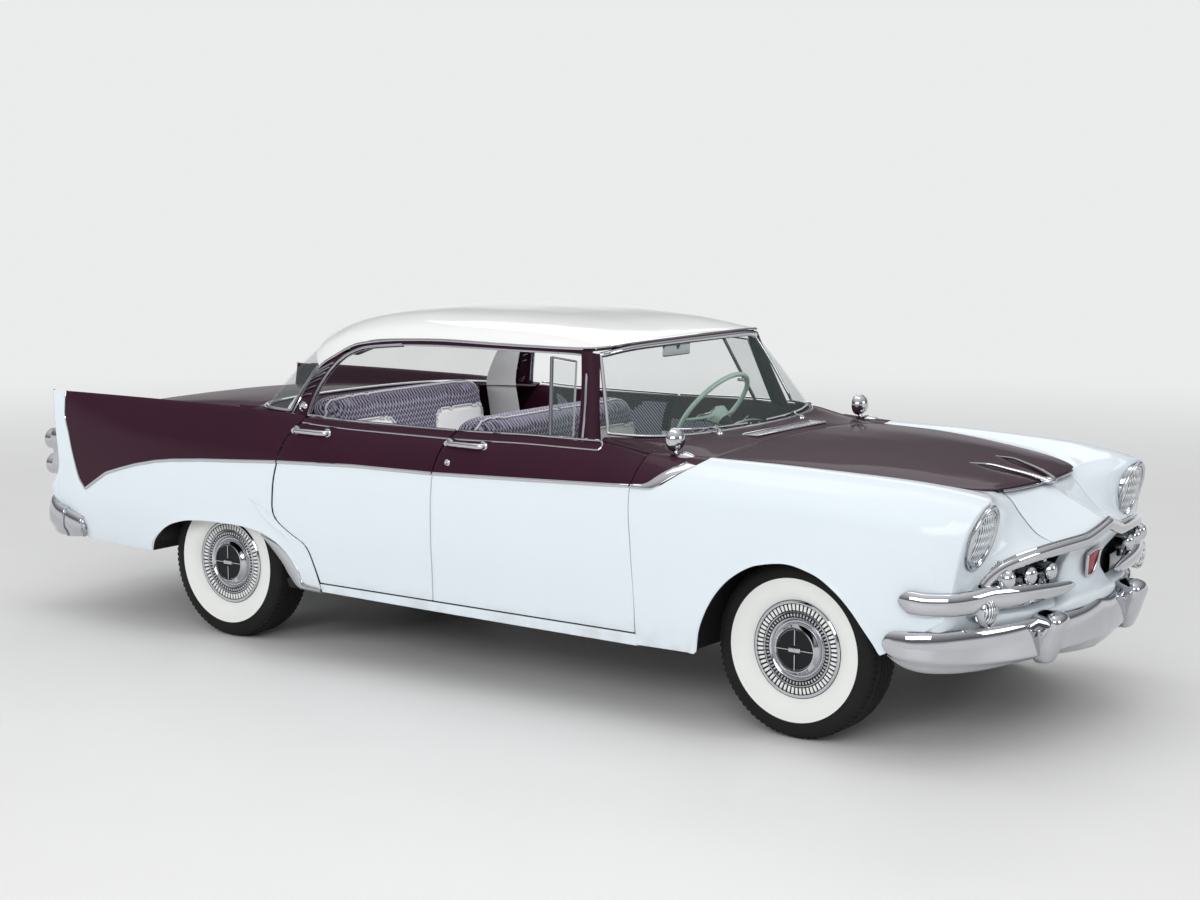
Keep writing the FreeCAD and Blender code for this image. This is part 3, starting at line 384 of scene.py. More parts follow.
# %% [markdown]
# ## The two-tone break
# The plum top meets the pale sides along one line that starts behind the fender, runs level over
# the doors, rises over the rear wheel, drops to a point and climbs the fin. It is one value of
# height for each x, so the shader can work it out as a sum of ramps, one for each stretch.

# %% Break line and paints
BREAK = (
    # x, z of the line between the colours, from the fin to the hood
    (-2408, 1082), (-2396, 970), (-2359, 880), (-2321, 789), (-2266, 668), (-2225, 622), (-2165, 656),
    (-2058, 716), (-1950, 747), (-1844, 775), (-1720, 800), (-1598, 816), (-1400, 833), (-1150, 849), (-924, 864),
    (-479, 884), (-19, 890), (984, 926), (1100, 932), (1130, 944), (1262, 1040))


def break_height(x):
    return np.interp(x, [row[0] for row in BREAK], [row[1] for row in BREAK])


PALE, PLUM, CREAM = (0.72, 0.79, 0.838), (0.028, 0.005, 0.015), (0.83, 0.84, 0.825)


def painted(name, lower, upper=None):
    """Gloss car paint: a faint mottle, orange peel under a clear coat, and a dusty hem."""
    paint = Finish(name, Roughness=0.5, Specular_IOR_Level=0.12, Coat_Roughness=0.07, Coat_IOR=1.38)
    mottle = paint.noise(3.0, 3.0)
    colour = paint.mix(mottle * 0.35, lower, tuple(c * 0.93 for c in lower))
    dust = paint.z.step(0.42, 0.28) * paint.noise(11, 4).step(0.35, 0.8) * 0.35
    colour = paint.mix(dust, colour, (0.42, 0.40, 0.37))
    if upper:
        height = BREAK[0][1] * mm
        for (x, z), (next_x, next_z) in zip(BREAK, BREAK[1:]):
            height = height + (paint.x - x * mm).clamp(0.0, (next_x - x) * mm) * ((next_z - z) / (next_x - x))
        glint = paint.mix(mottle * 0.5, upper, tuple(c * 1.5 for c in upper))
        ahead = (paint.x > -2.408) * (paint.x < 1.262)
        inner = (paint.y.sum("ABSOLUTE") < 0.852) * (paint.z > 0.95) * (paint.x < -2.4)
        plum = ((paint.z > height) * ahead + inner).clamp()
        colour = paint.mix(plum, colour, glint)
        paint.set("Coat Weight", plum * -0.58 + 0.85)
    else:
        paint.set("Coat Weight", mottle * 0.05 + (0.24 if lower == PLUM else 0.82))
    paint.set("Base Color", colour)
    return paint.bump(paint.noise(420, 1.0), 0.035, 0.0006).material


pale_paint = painted("pale_paint", PALE)
plum_paint = painted("plum_paint", PLUM)
cream_paint = painted("cream_paint", CREAM)
two_tone_paint = painted("two_tone_paint", PALE, PLUM)
print("break over the front door", break_height(500))

# %% [markdown]
# ## Chrome, glass and rubber
# Plated metal is a mirror with a trace of haze, so only its roughness varies. Window glass lets the
# cabin show through and is tinted green. Tyre rubber is dark and dull; the whitewall is its own finish.

# %% Hard finishes
def metal(name, colour, low, high, scale=14):
    plate = Finish(name, Metallic=1.0)
    haze = plate.noise(scale, 4)
    plate.set("Base Color", plate.mix(haze, colour, tuple(c * 0.9 for c in colour)))
    plate.set("Roughness", haze * (high - low) + low)
    return plate.bump(plate.noise(90, 2), 0.02, 0.0006).material


def dull(name, colour, rough, grain=300, strength=0.25, spread=0.6, wear=0.7):
    """A plain surface with blotches and a fine grain."""
    stuff = Finish(name, Specular_IOR_Level=0.25)
    blotch = stuff.noise(7, 5)
    stuff.set("Base Color", stuff.mix(blotch.step(0.3, 0.8) * spread, colour, tuple(c * wear for c in colour)))
    stuff.set("Roughness", blotch * 0.2 + (rough - 0.1))
    return stuff.bump(stuff.noise(grain, 3), strength, 0.0008).material


def clear(name, colour, alpha):
    pane = Finish(name, Roughness=0.02, IOR=1.5)
    film = pane.noise(5, 3)
    pane.set("Base Color", pane.mix(film, colour, tuple(c * 0.85 for c in colour)))
    pane.set("Alpha", film * 0.04 + alpha)
    return pane.bump(pane.noise(30, 1), 0.01, 0.0005).material


chrome = metal("chrome", (0.60, 0.61, 0.64), 0.02, 0.06)
brushed = metal("brushed_aluminium", (0.62, 0.63, 0.64), 0.22, 0.36, 60)
dark_chrome = metal("dark_chrome", (0.30, 0.30, 0.33), 0.08, 0.16)
plain_steel = metal("exhaust_steel", (0.34, 0.33, 0.32), 0.35, 0.6, 25)
chassis_black = dull("chassis_black", (0.018, 0.018, 0.02), 0.55, 160)
rubber = dull("tyre_rubber", (0.010, 0.010, 0.011), 0.72, 500, 0.3)
whitewall = dull("whitewall", (0.80, 0.81, 0.79), 0.5, 400, 0.1, 0.25, 0.9)
black_trim = dull("black_trim", (0.007, 0.007, 0.009), 0.35, 500, 0.1)
carpet = dull("floor_carpet", (0.055, 0.03, 0.045), 0.95, 700, 0.9, 0.8)
green_plastic = dull("pale_green_plastic", (0.58, 0.76, 0.66), 0.22, 200, 0.03, 0.2, 0.92)
window_glass = clear("window_glass", (0.16, 0.26, 0.23), 0.09)
red_lens = Finish("red_lens", Roughness=0.12, Coat_Weight=1.0, Transmission_Weight=0.0)
rings = red_lens.node("ShaderNodeTexWave", {"wave_type": "BANDS", "bands_direction": "Z"}, red_lens.place, 60.0, 0.0,
                      out=1)
red_lens.set("Base Color", red_lens.mix(rings, (0.42, 0.008, 0.01), (0.62, 0.03, 0.02)))
red_lens = red_lens.bump(rings, 0.3, 0.001).material

# %% [markdown]
# ## The body's side as one surface
# Fenders, doors and quarters share one skin, or their highlights would break at each shut line.
# `SIDE` gives half the body's width at a few heights for a few stations along the car; the crest is
# where the side turns into the top: the fender crown, the doors' belt, and the top of the fin.

# %% Side surface
SIDE = (
    # x, (z, half width) from the hem to the crest
    (-2500, (430, 840), (520, 868), (620, 884), (760, 886), (900, 880), (1000, 872), (1082, 864)),
    (-2250, (362, 868), (450, 894), (600, 918), (760, 916), (900, 902), (1000, 886), (1085, 866)),
    (-1700, (362, 905), (450, 927), (600, 946), (760, 942), (900, 925), (1000, 900), (1088, 868)),
    (-1300, (330, 910), (440, 932), (600, 948), (760, 944), (900, 925), (1000, 896), (1088, 866)),
    (-960, (310, 930), (440, 938), (600, 948), (760, 944), (900, 925), (1000, 892), (1080, 858)),
    (-500, (300, 930), (440, 938), (600, 948), (760, 944), (900, 926), (1000, 889), (1067, 846)),
    (-20, (298, 930), (440, 938), (600, 948), (760, 945), (900, 926), (1000, 889), (1068, 840)),
    (500, (296, 930), (440, 938), (600, 947), (760, 943), (900, 924), (1000, 886), (1080, 834)),
    (760, (295, 930), (440, 938), (600, 945), (760, 940), (900, 920), (1000, 880), (1080, 824)),
    (1040, (295, 930), (440, 938), (600, 940), (760, 935), (900, 914), (980, 872), (1040, 806)),
    (1245, (298, 930), (440, 938), (600, 936), (760, 930), (900, 908), (975, 866), (1030, 788)),
    (1720, (300, 905), (440, 920), (600, 930), (760, 925), (900, 902), (965, 862), (1016, 786)),
    (2100, (330, 880), (440, 896), (600, 910), (760, 906), (880, 888), (950, 848), (1004, 786)),
    (2300, (400, 848), (480, 860), (600, 872), (760, 872), (860, 860), (925, 832), (982, 782)),
    (2440, (450, 792), (520, 800), (600, 812), (760, 815), (840, 810), (900, 798), (950, 770)),
)
side_form = Line([row[0] for row in SIDE], [np.ravel(row[1:]) for row in SIDE])


def section(x):
    return side_form(x).reshape(-1, 2)


def side_y(x, z):
    points = section(x)
    return Line(points[:, 0], points[:, 1])(z)[0]


def crest(x):
    z, y = section(x)[-1]
    return np.array((x, y, z))


def on_side(x, z, proud=0.0):
    return np.array((x, side_y(x, z) + proud, z))


def hand(points, side):
    """A point, or a list of them, for the car's right (-1) or left (1)."""
    return np.array(points) * (1, side, 1)


def handed(side, place):
    """The same surface for the car's right (-1) or left (1)."""
    return lambda u, v: hand(place(u, v), side)

# %% [markdown]
# ## Shut lines and edges
# The panels meet along the real car's cuts: the front door's edge leans forward at the sill, the
# rear door's front edge sweeps forward under the belt, and its rear edge follows the wheel arch.

# %% Cut lines
gap = 3.5
FRONT_CUT = ((1036, 298), (1033, 420), (1012, 700), (989, 928), (996, 985), (1004, 1038))
MIDDLE_CUT = ((-18, 345), (-14, 526), (-17, 760), (-19, 890), (-8, 965), (18, 1030), (48, 1068))
REAR_CUT = ((-664, 318), (-700, 415), (-746, 505), (-832, 552), (-902, 593), (-934, 625), (-944, 662),
            (-940, 760), (-924, 862), (-905, 940), (-868, 1000), (-806, 1066))
ARCH_FRONT = ((1325, 306), (1335, 380), (1362, 460), (1410, 545), (1490, 627), (1600, 684), (1720, 702),
              (1840, 676), (1930, 622), (1995, 560), (2055, 478), (2092, 425), (2108, 395))
ARCH_REAR = ((-776, 330), (-800, 385), (-850, 450), (-930, 508), (-1040, 545), (-1180, 558), (-1322, 558),
             (-1470, 549), (-1590, 522), (-1690, 470), (-1755, 412), (-1780, 366))
door_hem, sill_top, sill_low = 347, 340, 294


def shifted(points, dx, low=None):
    moved = [(x + dx, z) for x, z in points]
    return [(x, z) for x, z in moved if low is None or z > low + 20]


def side_patch(bottom, top_x, left, right):
    """place(u, v) on the side, with the top along the crest between two stations."""
    start, end = top_x
    top = Path([crest(start + (end - start) * share)[[0, 2]] for share in np.linspace(0, 1, 12)])
    flat = patch(bottom, top, left, right)
    return lambda u, v: on_side(*flat(u, v))

# %% [markdown]
# ## Front fenders
# A fender is stretched between the sill and wheel arch below and its crown above, then rolls over
# the crown to the hood. Pressed steel is rolled outwards round the arch, which stiffens it, and its
# front wraps round to the headlight.

# %% Fenders
HOOD_EDGE = ((1006, 706, 1046), (1250, 684, 1035), (1500, 662, 1030), (1706, 636, 1019), (1857, 602, 1007),
             (2005, 564, 994), (2155, 506, 979), (2262, 425, 967), (2290, 392, 962))
brow_end = crest(2440)
front_bottom = Path([(1036, 298), (1325, 300)], ARCH_FRONT, [(2108, 395), (2190, 436), (2270, 496), (2346, 545)])
fender_rear = Path(FRONT_CUT)
fender_front = Path([(2346, 545), (2366, 606), (2382, 715), (2404, 836), (2426, 915), (2440, 950)])
fender_side = side_patch(front_bottom, (1004, 2440), fender_rear, fender_front)
fender_top = patch(
    Path([crest(x) for x in np.linspace(1004, 2440, 16)]),
    Path(HOOD_EDGE),
    Path([crest(1004), (1005, 760, 1046), HOOD_EDGE[0]]),
    Path([brow_end, (2444, 694, 976), (2388, 596, 984), (2318, 500, 975), HOOD_EDGE[-1]]))
shoulder = 0.74
arch_start, arch_stop = 0.150, 0.905


def fender_place(u, v):
    if v > shoulder:
        share = (v - shoulder) / (1 - shoulder)
        point = fender_top(u, share)
        point[2] += 7 * math.sin(math.pi * share) * (1 - u ** 8)
        return point
    v = v / shoulder
    point = fender_side(u, v ** 1.15)
    lip = max(0.0, 1 - v / 0.14) ** 2 if arch_start < u < arch_stop else 0
    point[1] += 9 * lip
    return point


for side_name, side in SIDES:
    fender = panel(f"fender_{side_name}", handed(side, fender_place), 110, 34, (0, side, 0.4))
    dressed(fender, "body", two_tone_paint, "paint_pale")
print("fender points", len(fender.data.vertices))

# %% [markdown]
# ## Doors
# Each door is a skin with a folded rim that closes on a flat inner panel, so it is whole when it
# swings open. The skin's boundary is extruded inwards and flattened, and filled as one face; the
# same function serves all four.

# %% Doors
inner_wall = 828


def door_skin(name, place, columns, side):
    """A closed door: outer skin, rim and an inner face for the trim."""
    door = face_way(grid(name, handed(side, place), columns, 26), (0, side, 0.2))
    pick(door)
    bpy.ops.object.mode_set(mode="EDIT")
    bpy.ops.mesh.select_all(action="DESELECT")
    bpy.ops.mesh.select_non_manifold()
    bpy.ops.mesh.extrude_region_move()
    bpy.ops.object.mode_set(mode="OBJECT")
    for point in door.data.vertices:
        if point.select:
            point.co.y = side * min(inner_wall * mm, abs(point.co.y) - 0.034)
    bpy.ops.object.mode_set(mode="EDIT")
    bpy.ops.mesh.edge_face_add()
    bpy.ops.object.mode_set(mode="OBJECT")
    outward(door)
    modify(door, "BEVEL", width=0.0016, segments=2, limit_method="ANGLE", angle_limit=math.radians(55))
    return soften(door)


front_door_place = side_patch(
    Path([(-18 + gap, door_hem), (1033 - gap, door_hem)]), (48 + gap, 1000 - gap),
    Path([(-18 + gap, door_hem)] + shifted(MIDDLE_CUT, gap, 345)),
    Path([(1033 - gap, door_hem)] + shifted(FRONT_CUT, -gap, 360)))
rear_door_place = side_patch(
    Path([(-672 + gap, door_hem), (-18 - gap, door_hem)]), (-806 + gap, 48 - gap),
    Path([(-672 + gap, door_hem)] + shifted(REAR_CUT, gap, 350)),
    Path([(-18 - gap, door_hem)] + shifted(MIDDLE_CUT, -gap, 345)))
for side_name, side in SIDES:
    front = door_skin(f"front_door_{side_name}_skin", front_door_place, 36, side)
    dressed(front, f"front_door_{side_name}", two_tone_paint, "paint_pale", [f"front_door_{side_name}"])
    rear = door_skin(f"rear_door_{side_name}_skin", rear_door_place, 30, side)
    dressed(rear, f"rear_door_{side_name}", two_tone_paint, "paint_pale", [f"rear_door_{side_name}"])
print("front door size", [round(v, 3) for v in front.dimensions])

# %% [markdown]
# ## Rocker and rear quarters
# Below the doors runs the sill. Behind them the quarter rises into the fin: a blade that stands up
# from the deck, with a root that falls away inside it to the trunk lid's edge.

# %% Sill
sill = patch(Path([(-664, sill_low + 12), (-20, sill_low + 6), (1040, sill_low)]),
             Path([(-672, sill_top), (1034, sill_top)]),
             Path([(-664, sill_low + 12), (-672, sill_top)]), Path([(1040, sill_low), (1034, sill_top)]))


def sill_place(u, v):
    if v < 0.3:
        x, z = sill(u, 0)
        return np.array((x, side_y(x, z) - 60 * (1 - v / 0.3), z - 2))
    if v > 0.8:
        x, z = sill(u, 1)
        return np.array((x, side_y(x, z) - 70 * (v - 0.8) / 0.2, z))
    return on_side(*sill(u, (v - 0.3) / 0.5))


for side_name, side in SIDES:
    dressed(panel(f"sill_{side_name}", handed(side, sill_place), 30, 10, (0, side, 0)), "body", pale_paint,
            "paint_pale")

# %% Quarters
quarter_bottom = Path([(-670, 318), (-776, 330)], ARCH_REAR,
                      [(-1780, 366), (-1900, 362), (-2200, 362), (-2330, 400), (-2440, 480), (-2508, 563)])
TAIL_EDGE = ((-2508, 563), (-2512, 603), (-2480, 648), (-2448, 692), (-2441, 738), (-2446, 790), (-2470, 900),
             (-2487, 1000), (-2500, 1082))
quarter_top = Path([crest(x)[[0, 2]] for x in np.linspace(-813, -2500, 24)])
quarter_flat = patch(quarter_bottom, quarter_top, Path(shifted(REAR_CUT, -gap - 3)), Path(TAIL_EDGE))
FIN_ROOT = Line((-2500, -2250, -1700, -1300, -1050, -800),
                ((822, 962, 648, 962), (824, 985, 648, 985), (828, 1016, 648, 1022), (830, 1046, 660, 1046),
                 (826, 1058, 722, 1058), (812, 1062, 770, 1064)))
quarter_shoulder = 0.7
quarter_arch = (0.055, 0.60)


def quarter_place(u, v):
    if v <= quarter_shoulder:
        v = v / quarter_shoulder
        point = on_side(*quarter_flat(u, v ** 1.1))
        lip = max(0.0, 1 - v / 0.12) ** 2 if quarter_arch[0] < u < quarter_arch[1] else 0
        point[1] += 7 * lip
        return point
    share = (v - quarter_shoulder) / (1 - quarter_shoulder)
    x, z = quarter_top(u)
    edge_y = crest(x)[1]
    root_y, root_z, deck_y, deck_z = FIN_ROOT(x)
    if share < 0.2:
        return np.array((x, edge_y - 14 * share / 0.2, z - 4 * (share / 0.2) ** 2))
    if share < 0.6:
        t = (share - 0.2) / 0.4
        ease = t * t * (3 - 2 * t)
        return np.array((x, edge_y - 14 + (root_y - edge_y + 14) * t, z - 4 + (root_z - z + 4) * ease))
    t = (share - 0.6) / 0.4
    return np.array((x, root_y + (deck_y - root_y) * t, root_z + (deck_z - root_z) * t))


for side_name, side in SIDES:
    quarter = panel(f"quarter_{side_name}", handed(side, quarter_place), 110, 44, (0, side, 0.3))
    dressed(quarter, "body", two_tone_paint, "paint_pale")
print("quarter length", round(quarter.dimensions.x, 3))

# %% Arch liners
FRONT_AXLE, REAR_AXLE, HUB_HEIGHT = 1710, -1338, 350
LINERS = ((ARCH_FRONT, FRONT_AXLE, 395, 1.1), (ARCH_REAR, REAR_AXLE, 390, 1.0))
liner_depth, liner_lip = 645, 0.15


def liner_place(arch, hub_x, radius, grow):
    """A dark sheet from the arch's edge inwards, clear of the tyre all round."""
    line, hub = Path(arch), np.array((hub_x, HUB_HEIGHT))

    def place(u, v):
        start = line(u)
        edge_y = on_side(*start, -6)[1]
        reach = np.linalg.norm(start - hub)
        rolled = min(1, v / liner_lip)
        wide = reach + (max(radius, reach * grow) - reach) * rolled
        x, z = hub + (start - hub) * wide / reach
        inner = edge_y - 45 * rolled - (edge_y - liner_depth) * max(0, (v - liner_lip) / (1 - liner_lip))
        return np.array((x, inner, z))
    return place


for side_name, side in SIDES:
    liners = [panel("liner", handed(side, liner_place(*arch)), 60, 20, (0, -side, -0.1)) for arch in LINERS]
    dressed(joined(f"arch_liners_{side_name}", liners), "body", chassis_black)

# %% [markdown]
# ## Ribs
# Where a surface changes shape along its length, like a roof or a nose, it is drawn as a set of
# ribs. `ribbed` runs smooth lines through matching points of neighbouring ribs. `whole` mirrors a
# surface whose ribs run from the car's middle outwards, and `spanning` one whose ribs follow each
# other outwards. `both_ways` does the same for a line.

# %% Ribs
def ribbed(ribs):
    lines = [Line(np.linspace(0, 1, len(rib)), rib) for rib in ribs]
    at = np.linspace(0, 1, len(ribs))
    return lambda u, v: Line(at, [line(v) for line in lines])(u)


def whole(place):
    return lambda u, v: hand(place(u, abs(2 * v - 1)), -1 if v < 0.5 else 1)


def spanning(place):
    return lambda u, v: hand(place(abs(2 * u - 1), v), -1 if u < 0.5 else 1)


def both_ways(half, lift=(0, 0, 0)):
    """A line right across the car, from the half that runs outwards from the middle."""
    return list(hand(half[::-1], -1) + lift) + list(hand(half[1:], 1) + lift)

# %% [markdown]
# ## Roof
# The cream roof is a thin shell with the fullest curve over the rear seat. Its hem runs level above
# the doors and drops down the rear pillars, which keeps the pillars slim and the roof light.

# %% Roof shell
ROOF_RIBS = (
    # each from the middle of the car out to the hem
    ((652, 0, 1447), (652, 220, 1447), (654, 400, 1446), (648, 560, 1441), (596, 622, 1434)),
    ((640, 0, 1457), (640, 220, 1456), (638, 400, 1453), (622, 572, 1445), (585, 628, 1433)),
    ((560, 0, 1488), (560, 220, 1486), (555, 400, 1479), (540, 588, 1455), (510, 646, 1432)),
    ((420, 0, 1517), (420, 220, 1514), (418, 400, 1504), (410, 590, 1470), (395, 660, 1432)),
    ((150, 0, 1538), (150, 220, 1535), (150, 400, 1524), (150, 592, 1485), (150, 673, 1432)),
    ((-120, 0, 1544), (-120, 220, 1541), (-120, 400, 1530), (-120, 596, 1489), (-120, 680, 1434)),
    ((-380, 0, 1543), (-380, 220, 1540), (-380, 400, 1528), (-380, 598, 1482), (-380, 684, 1425)),
    ((-620, 0, 1532), (-620, 220, 1528), (-620, 400, 1514), (-620, 600, 1460), (-630, 688, 1397)),
    ((-800, 0, 1510), (-800, 220, 1506), (-796, 400, 1490), (-786, 602, 1424), (-782, 690, 1333)),
    ((-930, 0, 1482), (-930, 220, 1477), (-922, 400, 1459), (-902, 600, 1380), (-866, 690, 1284)),
    ((-1026, 0, 1449), (-1024, 220, 1444), (-1016, 400, 1424), (-982, 590, 1345), (-884, 690, 1268)),
)
roof_place = ribbed(ROOF_RIBS)
roof = panel("roof_shell", whole(roof_place), 70, 48, (0, 0, 1), wall=5, edge=1.5)
dressed(roof, "body", cream_paint, "paint_cream")
headliner_cloth = dull("headliner", (0.050, 0.045, 0.050), 0.9, 600, 0.5, 0.3, 0.9)
lining = panel("headliner", lambda u, v: whole(roof_place)(u, v) * (0.985, 0.975, 1) - (0, 0, 16),
               40, 30, (0, 0, -1), wall=2, edge=0)
dressed(lining, "body", headliner_cloth)
print("roof width", round(roof.dimensions.y, 3))

# %% [markdown]
# ## Pillars and side rails
# There is no post between the doors. The windshield posts and the rear pillars are painted plum,
# with a thin rail between them under the roof's hem, and the inner side of the rear pillar is
# covered in white vinyl.

# %% Pillars
rail_place = ribbed([
    # outer hem under the roof, then the window's edge, then back inwards
    ((600, 617, 1437), (604, 628, 1422), (600, 632, 1404), (594, 606, 1400)),
    ((510, 641, 1435), (510, 650, 1424), (510, 652, 1409), (508, 622, 1402)),
    ((395, 655, 1435), (395, 664, 1424), (395, 666, 1410), (393, 632, 1403)),
    ((150, 668, 1436), (150, 677, 1424), (150, 679, 1410), (150, 645, 1402)),
    ((-120, 675, 1438), (-120, 684, 1425), (-120, 686, 1409), (-120, 652, 1401)),
    ((-380, 679, 1429), (-380, 688, 1418), (-378, 690, 1401), (-376, 656, 1394)),
    ((-560, 682, 1414), (-556, 692, 1400), (-548, 694, 1383), (-545, 660, 1377)),
    ((-700, 684, 1372), (-690, 694, 1360), (-672, 698, 1343), (-666, 664, 1338)),
])
rear_pillar_place = ribbed([
    # from the window's edge back to the rear glass, belt to hem
    ((-835, 806, 1068), (-806, 778, 1170), (-762, 738, 1262), (-712, 700, 1326), (-670, 690, 1352)),
    ((-862, 806, 1068), (-834, 778, 1168), (-796, 742, 1252), (-764, 708, 1308), (-730, 692, 1348)),
    ((-912, 798, 1068), (-886, 768, 1158), (-860, 736, 1226), (-838, 708, 1276), (-806, 690, 1318)),
    ((-962, 776, 1066), (-940, 746, 1140), (-920, 720, 1200), (-902, 698, 1246), (-878, 686, 1278)),
    ((-990, 752, 1066), (-966, 726, 1138), (-944, 702, 1196), (-926, 684, 1244), (-900, 678, 1272)),
])
post_place = ribbed([
    # windshield post, around its section from the vent window forward to the glass
    ((628, 760, 1066), (604, 712, 1180), (578, 668, 1300), (556, 636, 1412)),
    ((640, 782, 1066), (616, 734, 1180), (590, 688, 1300), (566, 656, 1420)),
    ((668, 784, 1066), (642, 738, 1180), (616, 690, 1300), (590, 654, 1420)),
    ((712, 768, 1066), (678, 724, 1180), (646, 676, 1300), (616, 640, 1416)),
    ((726, 740, 1066), (690, 700, 1180), (658, 654, 1300), (628, 612, 1410)),
    ((690, 724, 1066), (660, 682, 1180), (628, 640, 1300), (600, 604, 1410)),
])
pillar_trim_place = ribbed([
    # the white inner side of the rear pillar, from the shoulder of the bench up to the roof
    ((-868, 790, 800), (-892, 782, 940), (-900, 764, 1060), (-842, 712, 1200), (-782, 674, 1310), (-764, 668, 1340)),
    ((-930, 786, 800), (-950, 776, 940), (-960, 752, 1060), (-904, 702, 1190), (-842, 664, 1300), (-826, 658, 1326)),
    ((-1060, 780, 800), (-1074, 766, 940), (-1060, 726, 1060), (-984, 676, 1180), (-906, 646, 1276),
     (-892, 642, 1300)),
])
white_vinyl = dull("white_vinyl", (0.88, 0.89, 0.89), 0.42, 380, 0.2, 0.2, 0.95)
for side_name, side in SIDES:
    rail = panel(f"side_rail_{side_name}", handed(side, rail_place), 50, 6, (0, side, 0))
    pillar = panel(f"rear_pillar_{side_name}", handed(side, rear_pillar_place), 14, 24, (0, side, 0))
    post = panel(f"front_post_{side_name}", handed(side, post_place), 16, 14, (0, side, 0), wall=2)
    frame_piece = joined(f"roof_frame_{side_name}", [rail, pillar, post])
    dressed(frame_piece, "body", plum_paint, "paint_plum", ["roof"])
    trim = panel(f"pillar_trim_{side_name}", handed(side, pillar_trim_place), 16, 20, (0, -side, 0))
    dressed(trim, "body", white_vinyl)

# %% [markdown]
# ## Glass
# The windshield wraps round to its posts and the rear window wraps further still. Both are single
# bent sheets, so each is a ribbed surface given a thin wall.

# %% Windshield and rear window
windshield_place = ribbed([
    ((1018, 0, 1078), (930, 0, 1175), (838, 0, 1275), (748, 0, 1368), (668, 0, 1441)),
    ((1006, 250, 1079), (920, 244, 1176), (830, 236, 1276), (742, 228, 1369), (668, 222, 1440)),
    ((975, 460, 1082), (894, 446, 1178), (810, 430, 1277), (728, 412, 1369), (666, 400, 1438)),
    ((915, 620, 1088), (848, 596, 1182), (778, 568, 1279), (706, 536, 1368), (650, 515, 1428)),
    ((840, 698, 1094), (788, 666, 1186), (732, 632, 1281), (676, 596, 1366), (636, 572, 1418)),
    ((752, 724, 1098), (716, 690, 1188), (678, 654, 1282), (640, 618, 1365), (616, 598, 1412)),
])
rear_glass_place = ribbed([
    ((-1408, 0, 1066), (-1320, 0, 1170), (-1222, 0, 1275), (-1120, 0, 1370), (-1026, 0, 1440)),
    ((-1396, 250, 1066), (-1308, 240, 1169), (-1212, 232, 1272), (-1112, 226, 1366), (-1022, 220, 1436)),
    ((-1356, 470, 1066), (-1274, 452, 1164), (-1184, 434, 1262), (-1092, 414, 1352), (-1014, 398, 1416)),
    ((-1268, 640, 1067), (-1202, 616, 1150), (-1132, 590, 1232), (-1054, 580, 1296), (-984, 584, 1342)),
    ((-1130, 728, 1068), (-1084, 704, 1136), (-1034, 680, 1202), (-978, 664, 1254), (-920, 662, 1294)),
    ((-1000, 756, 1069), (-976, 732, 1130), (-950, 708, 1188), (-924, 688, 1236), (-898, 680, 1270)),
])
for name, place, way, node in (("windshield_glass", windshield_place, 1, "windshield"),
                               ("rear_window_glass", rear_glass_place, -1, "rear_window")):
    pane = face_way(grid(name, spanning(place), 60, 16), (way, 0, 0.4))
    modify(pane, "SOLIDIFY", thickness=0.005, offset=-1)
    dressed(soften(pane), "body", window_glass, "glass", [node])

# %% [markdown]
# ## Hood
# The hood is plum on top, with a front edge that juts out over the nose like the peak of a cap.
# Below the peak its pale front face drops to the grille, narrow enough to lift between the
# headlights.

# %% Hood
HOOD_RIBS = (
    # from the middle to the edge
    ((1250, 0, 1072), (1250, 250, 1069), (1250, 470, 1058), (1250, 620, 1044), (1250, 678, 1036)),
    ((1500, 0, 1069), (1500, 250, 1066), (1500, 460, 1055), (1500, 600, 1041), (1500, 656, 1031)),
    ((1720, 0, 1060), (1720, 240, 1057), (1720, 440, 1045), (1712, 575, 1030), (1706, 630, 1020)),
    ((1920, 0, 1044), (1920, 230, 1041), (1915, 410, 1029), (1885, 535, 1016), (1857, 596, 1008)),
    ((2080, 0, 1023), (2080, 220, 1020), (2072, 380, 1010), (2040, 490, 1001), (2005, 558, 995)),
    ((2210, 0, 1000), (2208, 200, 998), (2200, 340, 991), (2180, 440, 984), (2155, 500, 981)),
    ((2300, 0, 979), (2297, 160, 978), (2290, 280, 975), (2280, 360, 971), (2270, 415, 969)),
    ((2346, 0, 963), (2342, 110, 963), (2334, 200, 964), (2324, 280, 965), (2308, 340, 966)),
)
hood_place = ribbed(HOOD_RIBS)


def hood_lip(u, v):
    """The top, whose front and side edges roll under by a few millimetres."""
    point = np.array(whole(hood_place)(u, v))
    point[2] -= 9 * max(0, (u - 0.975) / 0.025) ** 2 + 5 * max(0, (abs(2 * v - 1) - 0.97) / 0.03) ** 2
    return point


hood_top = panel("hood_top", hood_lip, 70, 48, (0, 0, 1), wall=14, edge=3)
NOSE_RIBS = (
    # from under the lip down to the grille moulding, the middle of the car first
    ((2322, 0, 950), (2372, 0, 938), (2450, 0, 900), (2545, 0, 855), (2612, 0, 822)),
    ((2320, 50, 950), (2368, 50, 936), (2440, 50, 894), (2530, 50, 844), (2604, 60, 806)),
    ((2318, 110, 950), (2360, 110, 934), (2424, 110, 886), (2508, 112, 830), (2596, 112, 788)),
    ((2312, 200, 950), (2350, 202, 930), (2408, 205, 874), (2486, 208, 815), (2584, 212, 776)),
    ((2304, 292, 950), (2340, 297, 924), (2394, 302, 862), (2466, 308, 800), (2568, 314, 768)),
)
nose_place = ribbed(NOSE_RIBS)
nose = panel("hood_nose", spanning(nose_place), 40, 26, (1, 0, 0), wall=4)
dressed(hood_top, "hood", plum_paint, "paint_plum", ["hood"])
dressed(nose, "hood", pale_paint, "paint_pale")
print("hood length", round(hood_top.dimensions.x, 3))

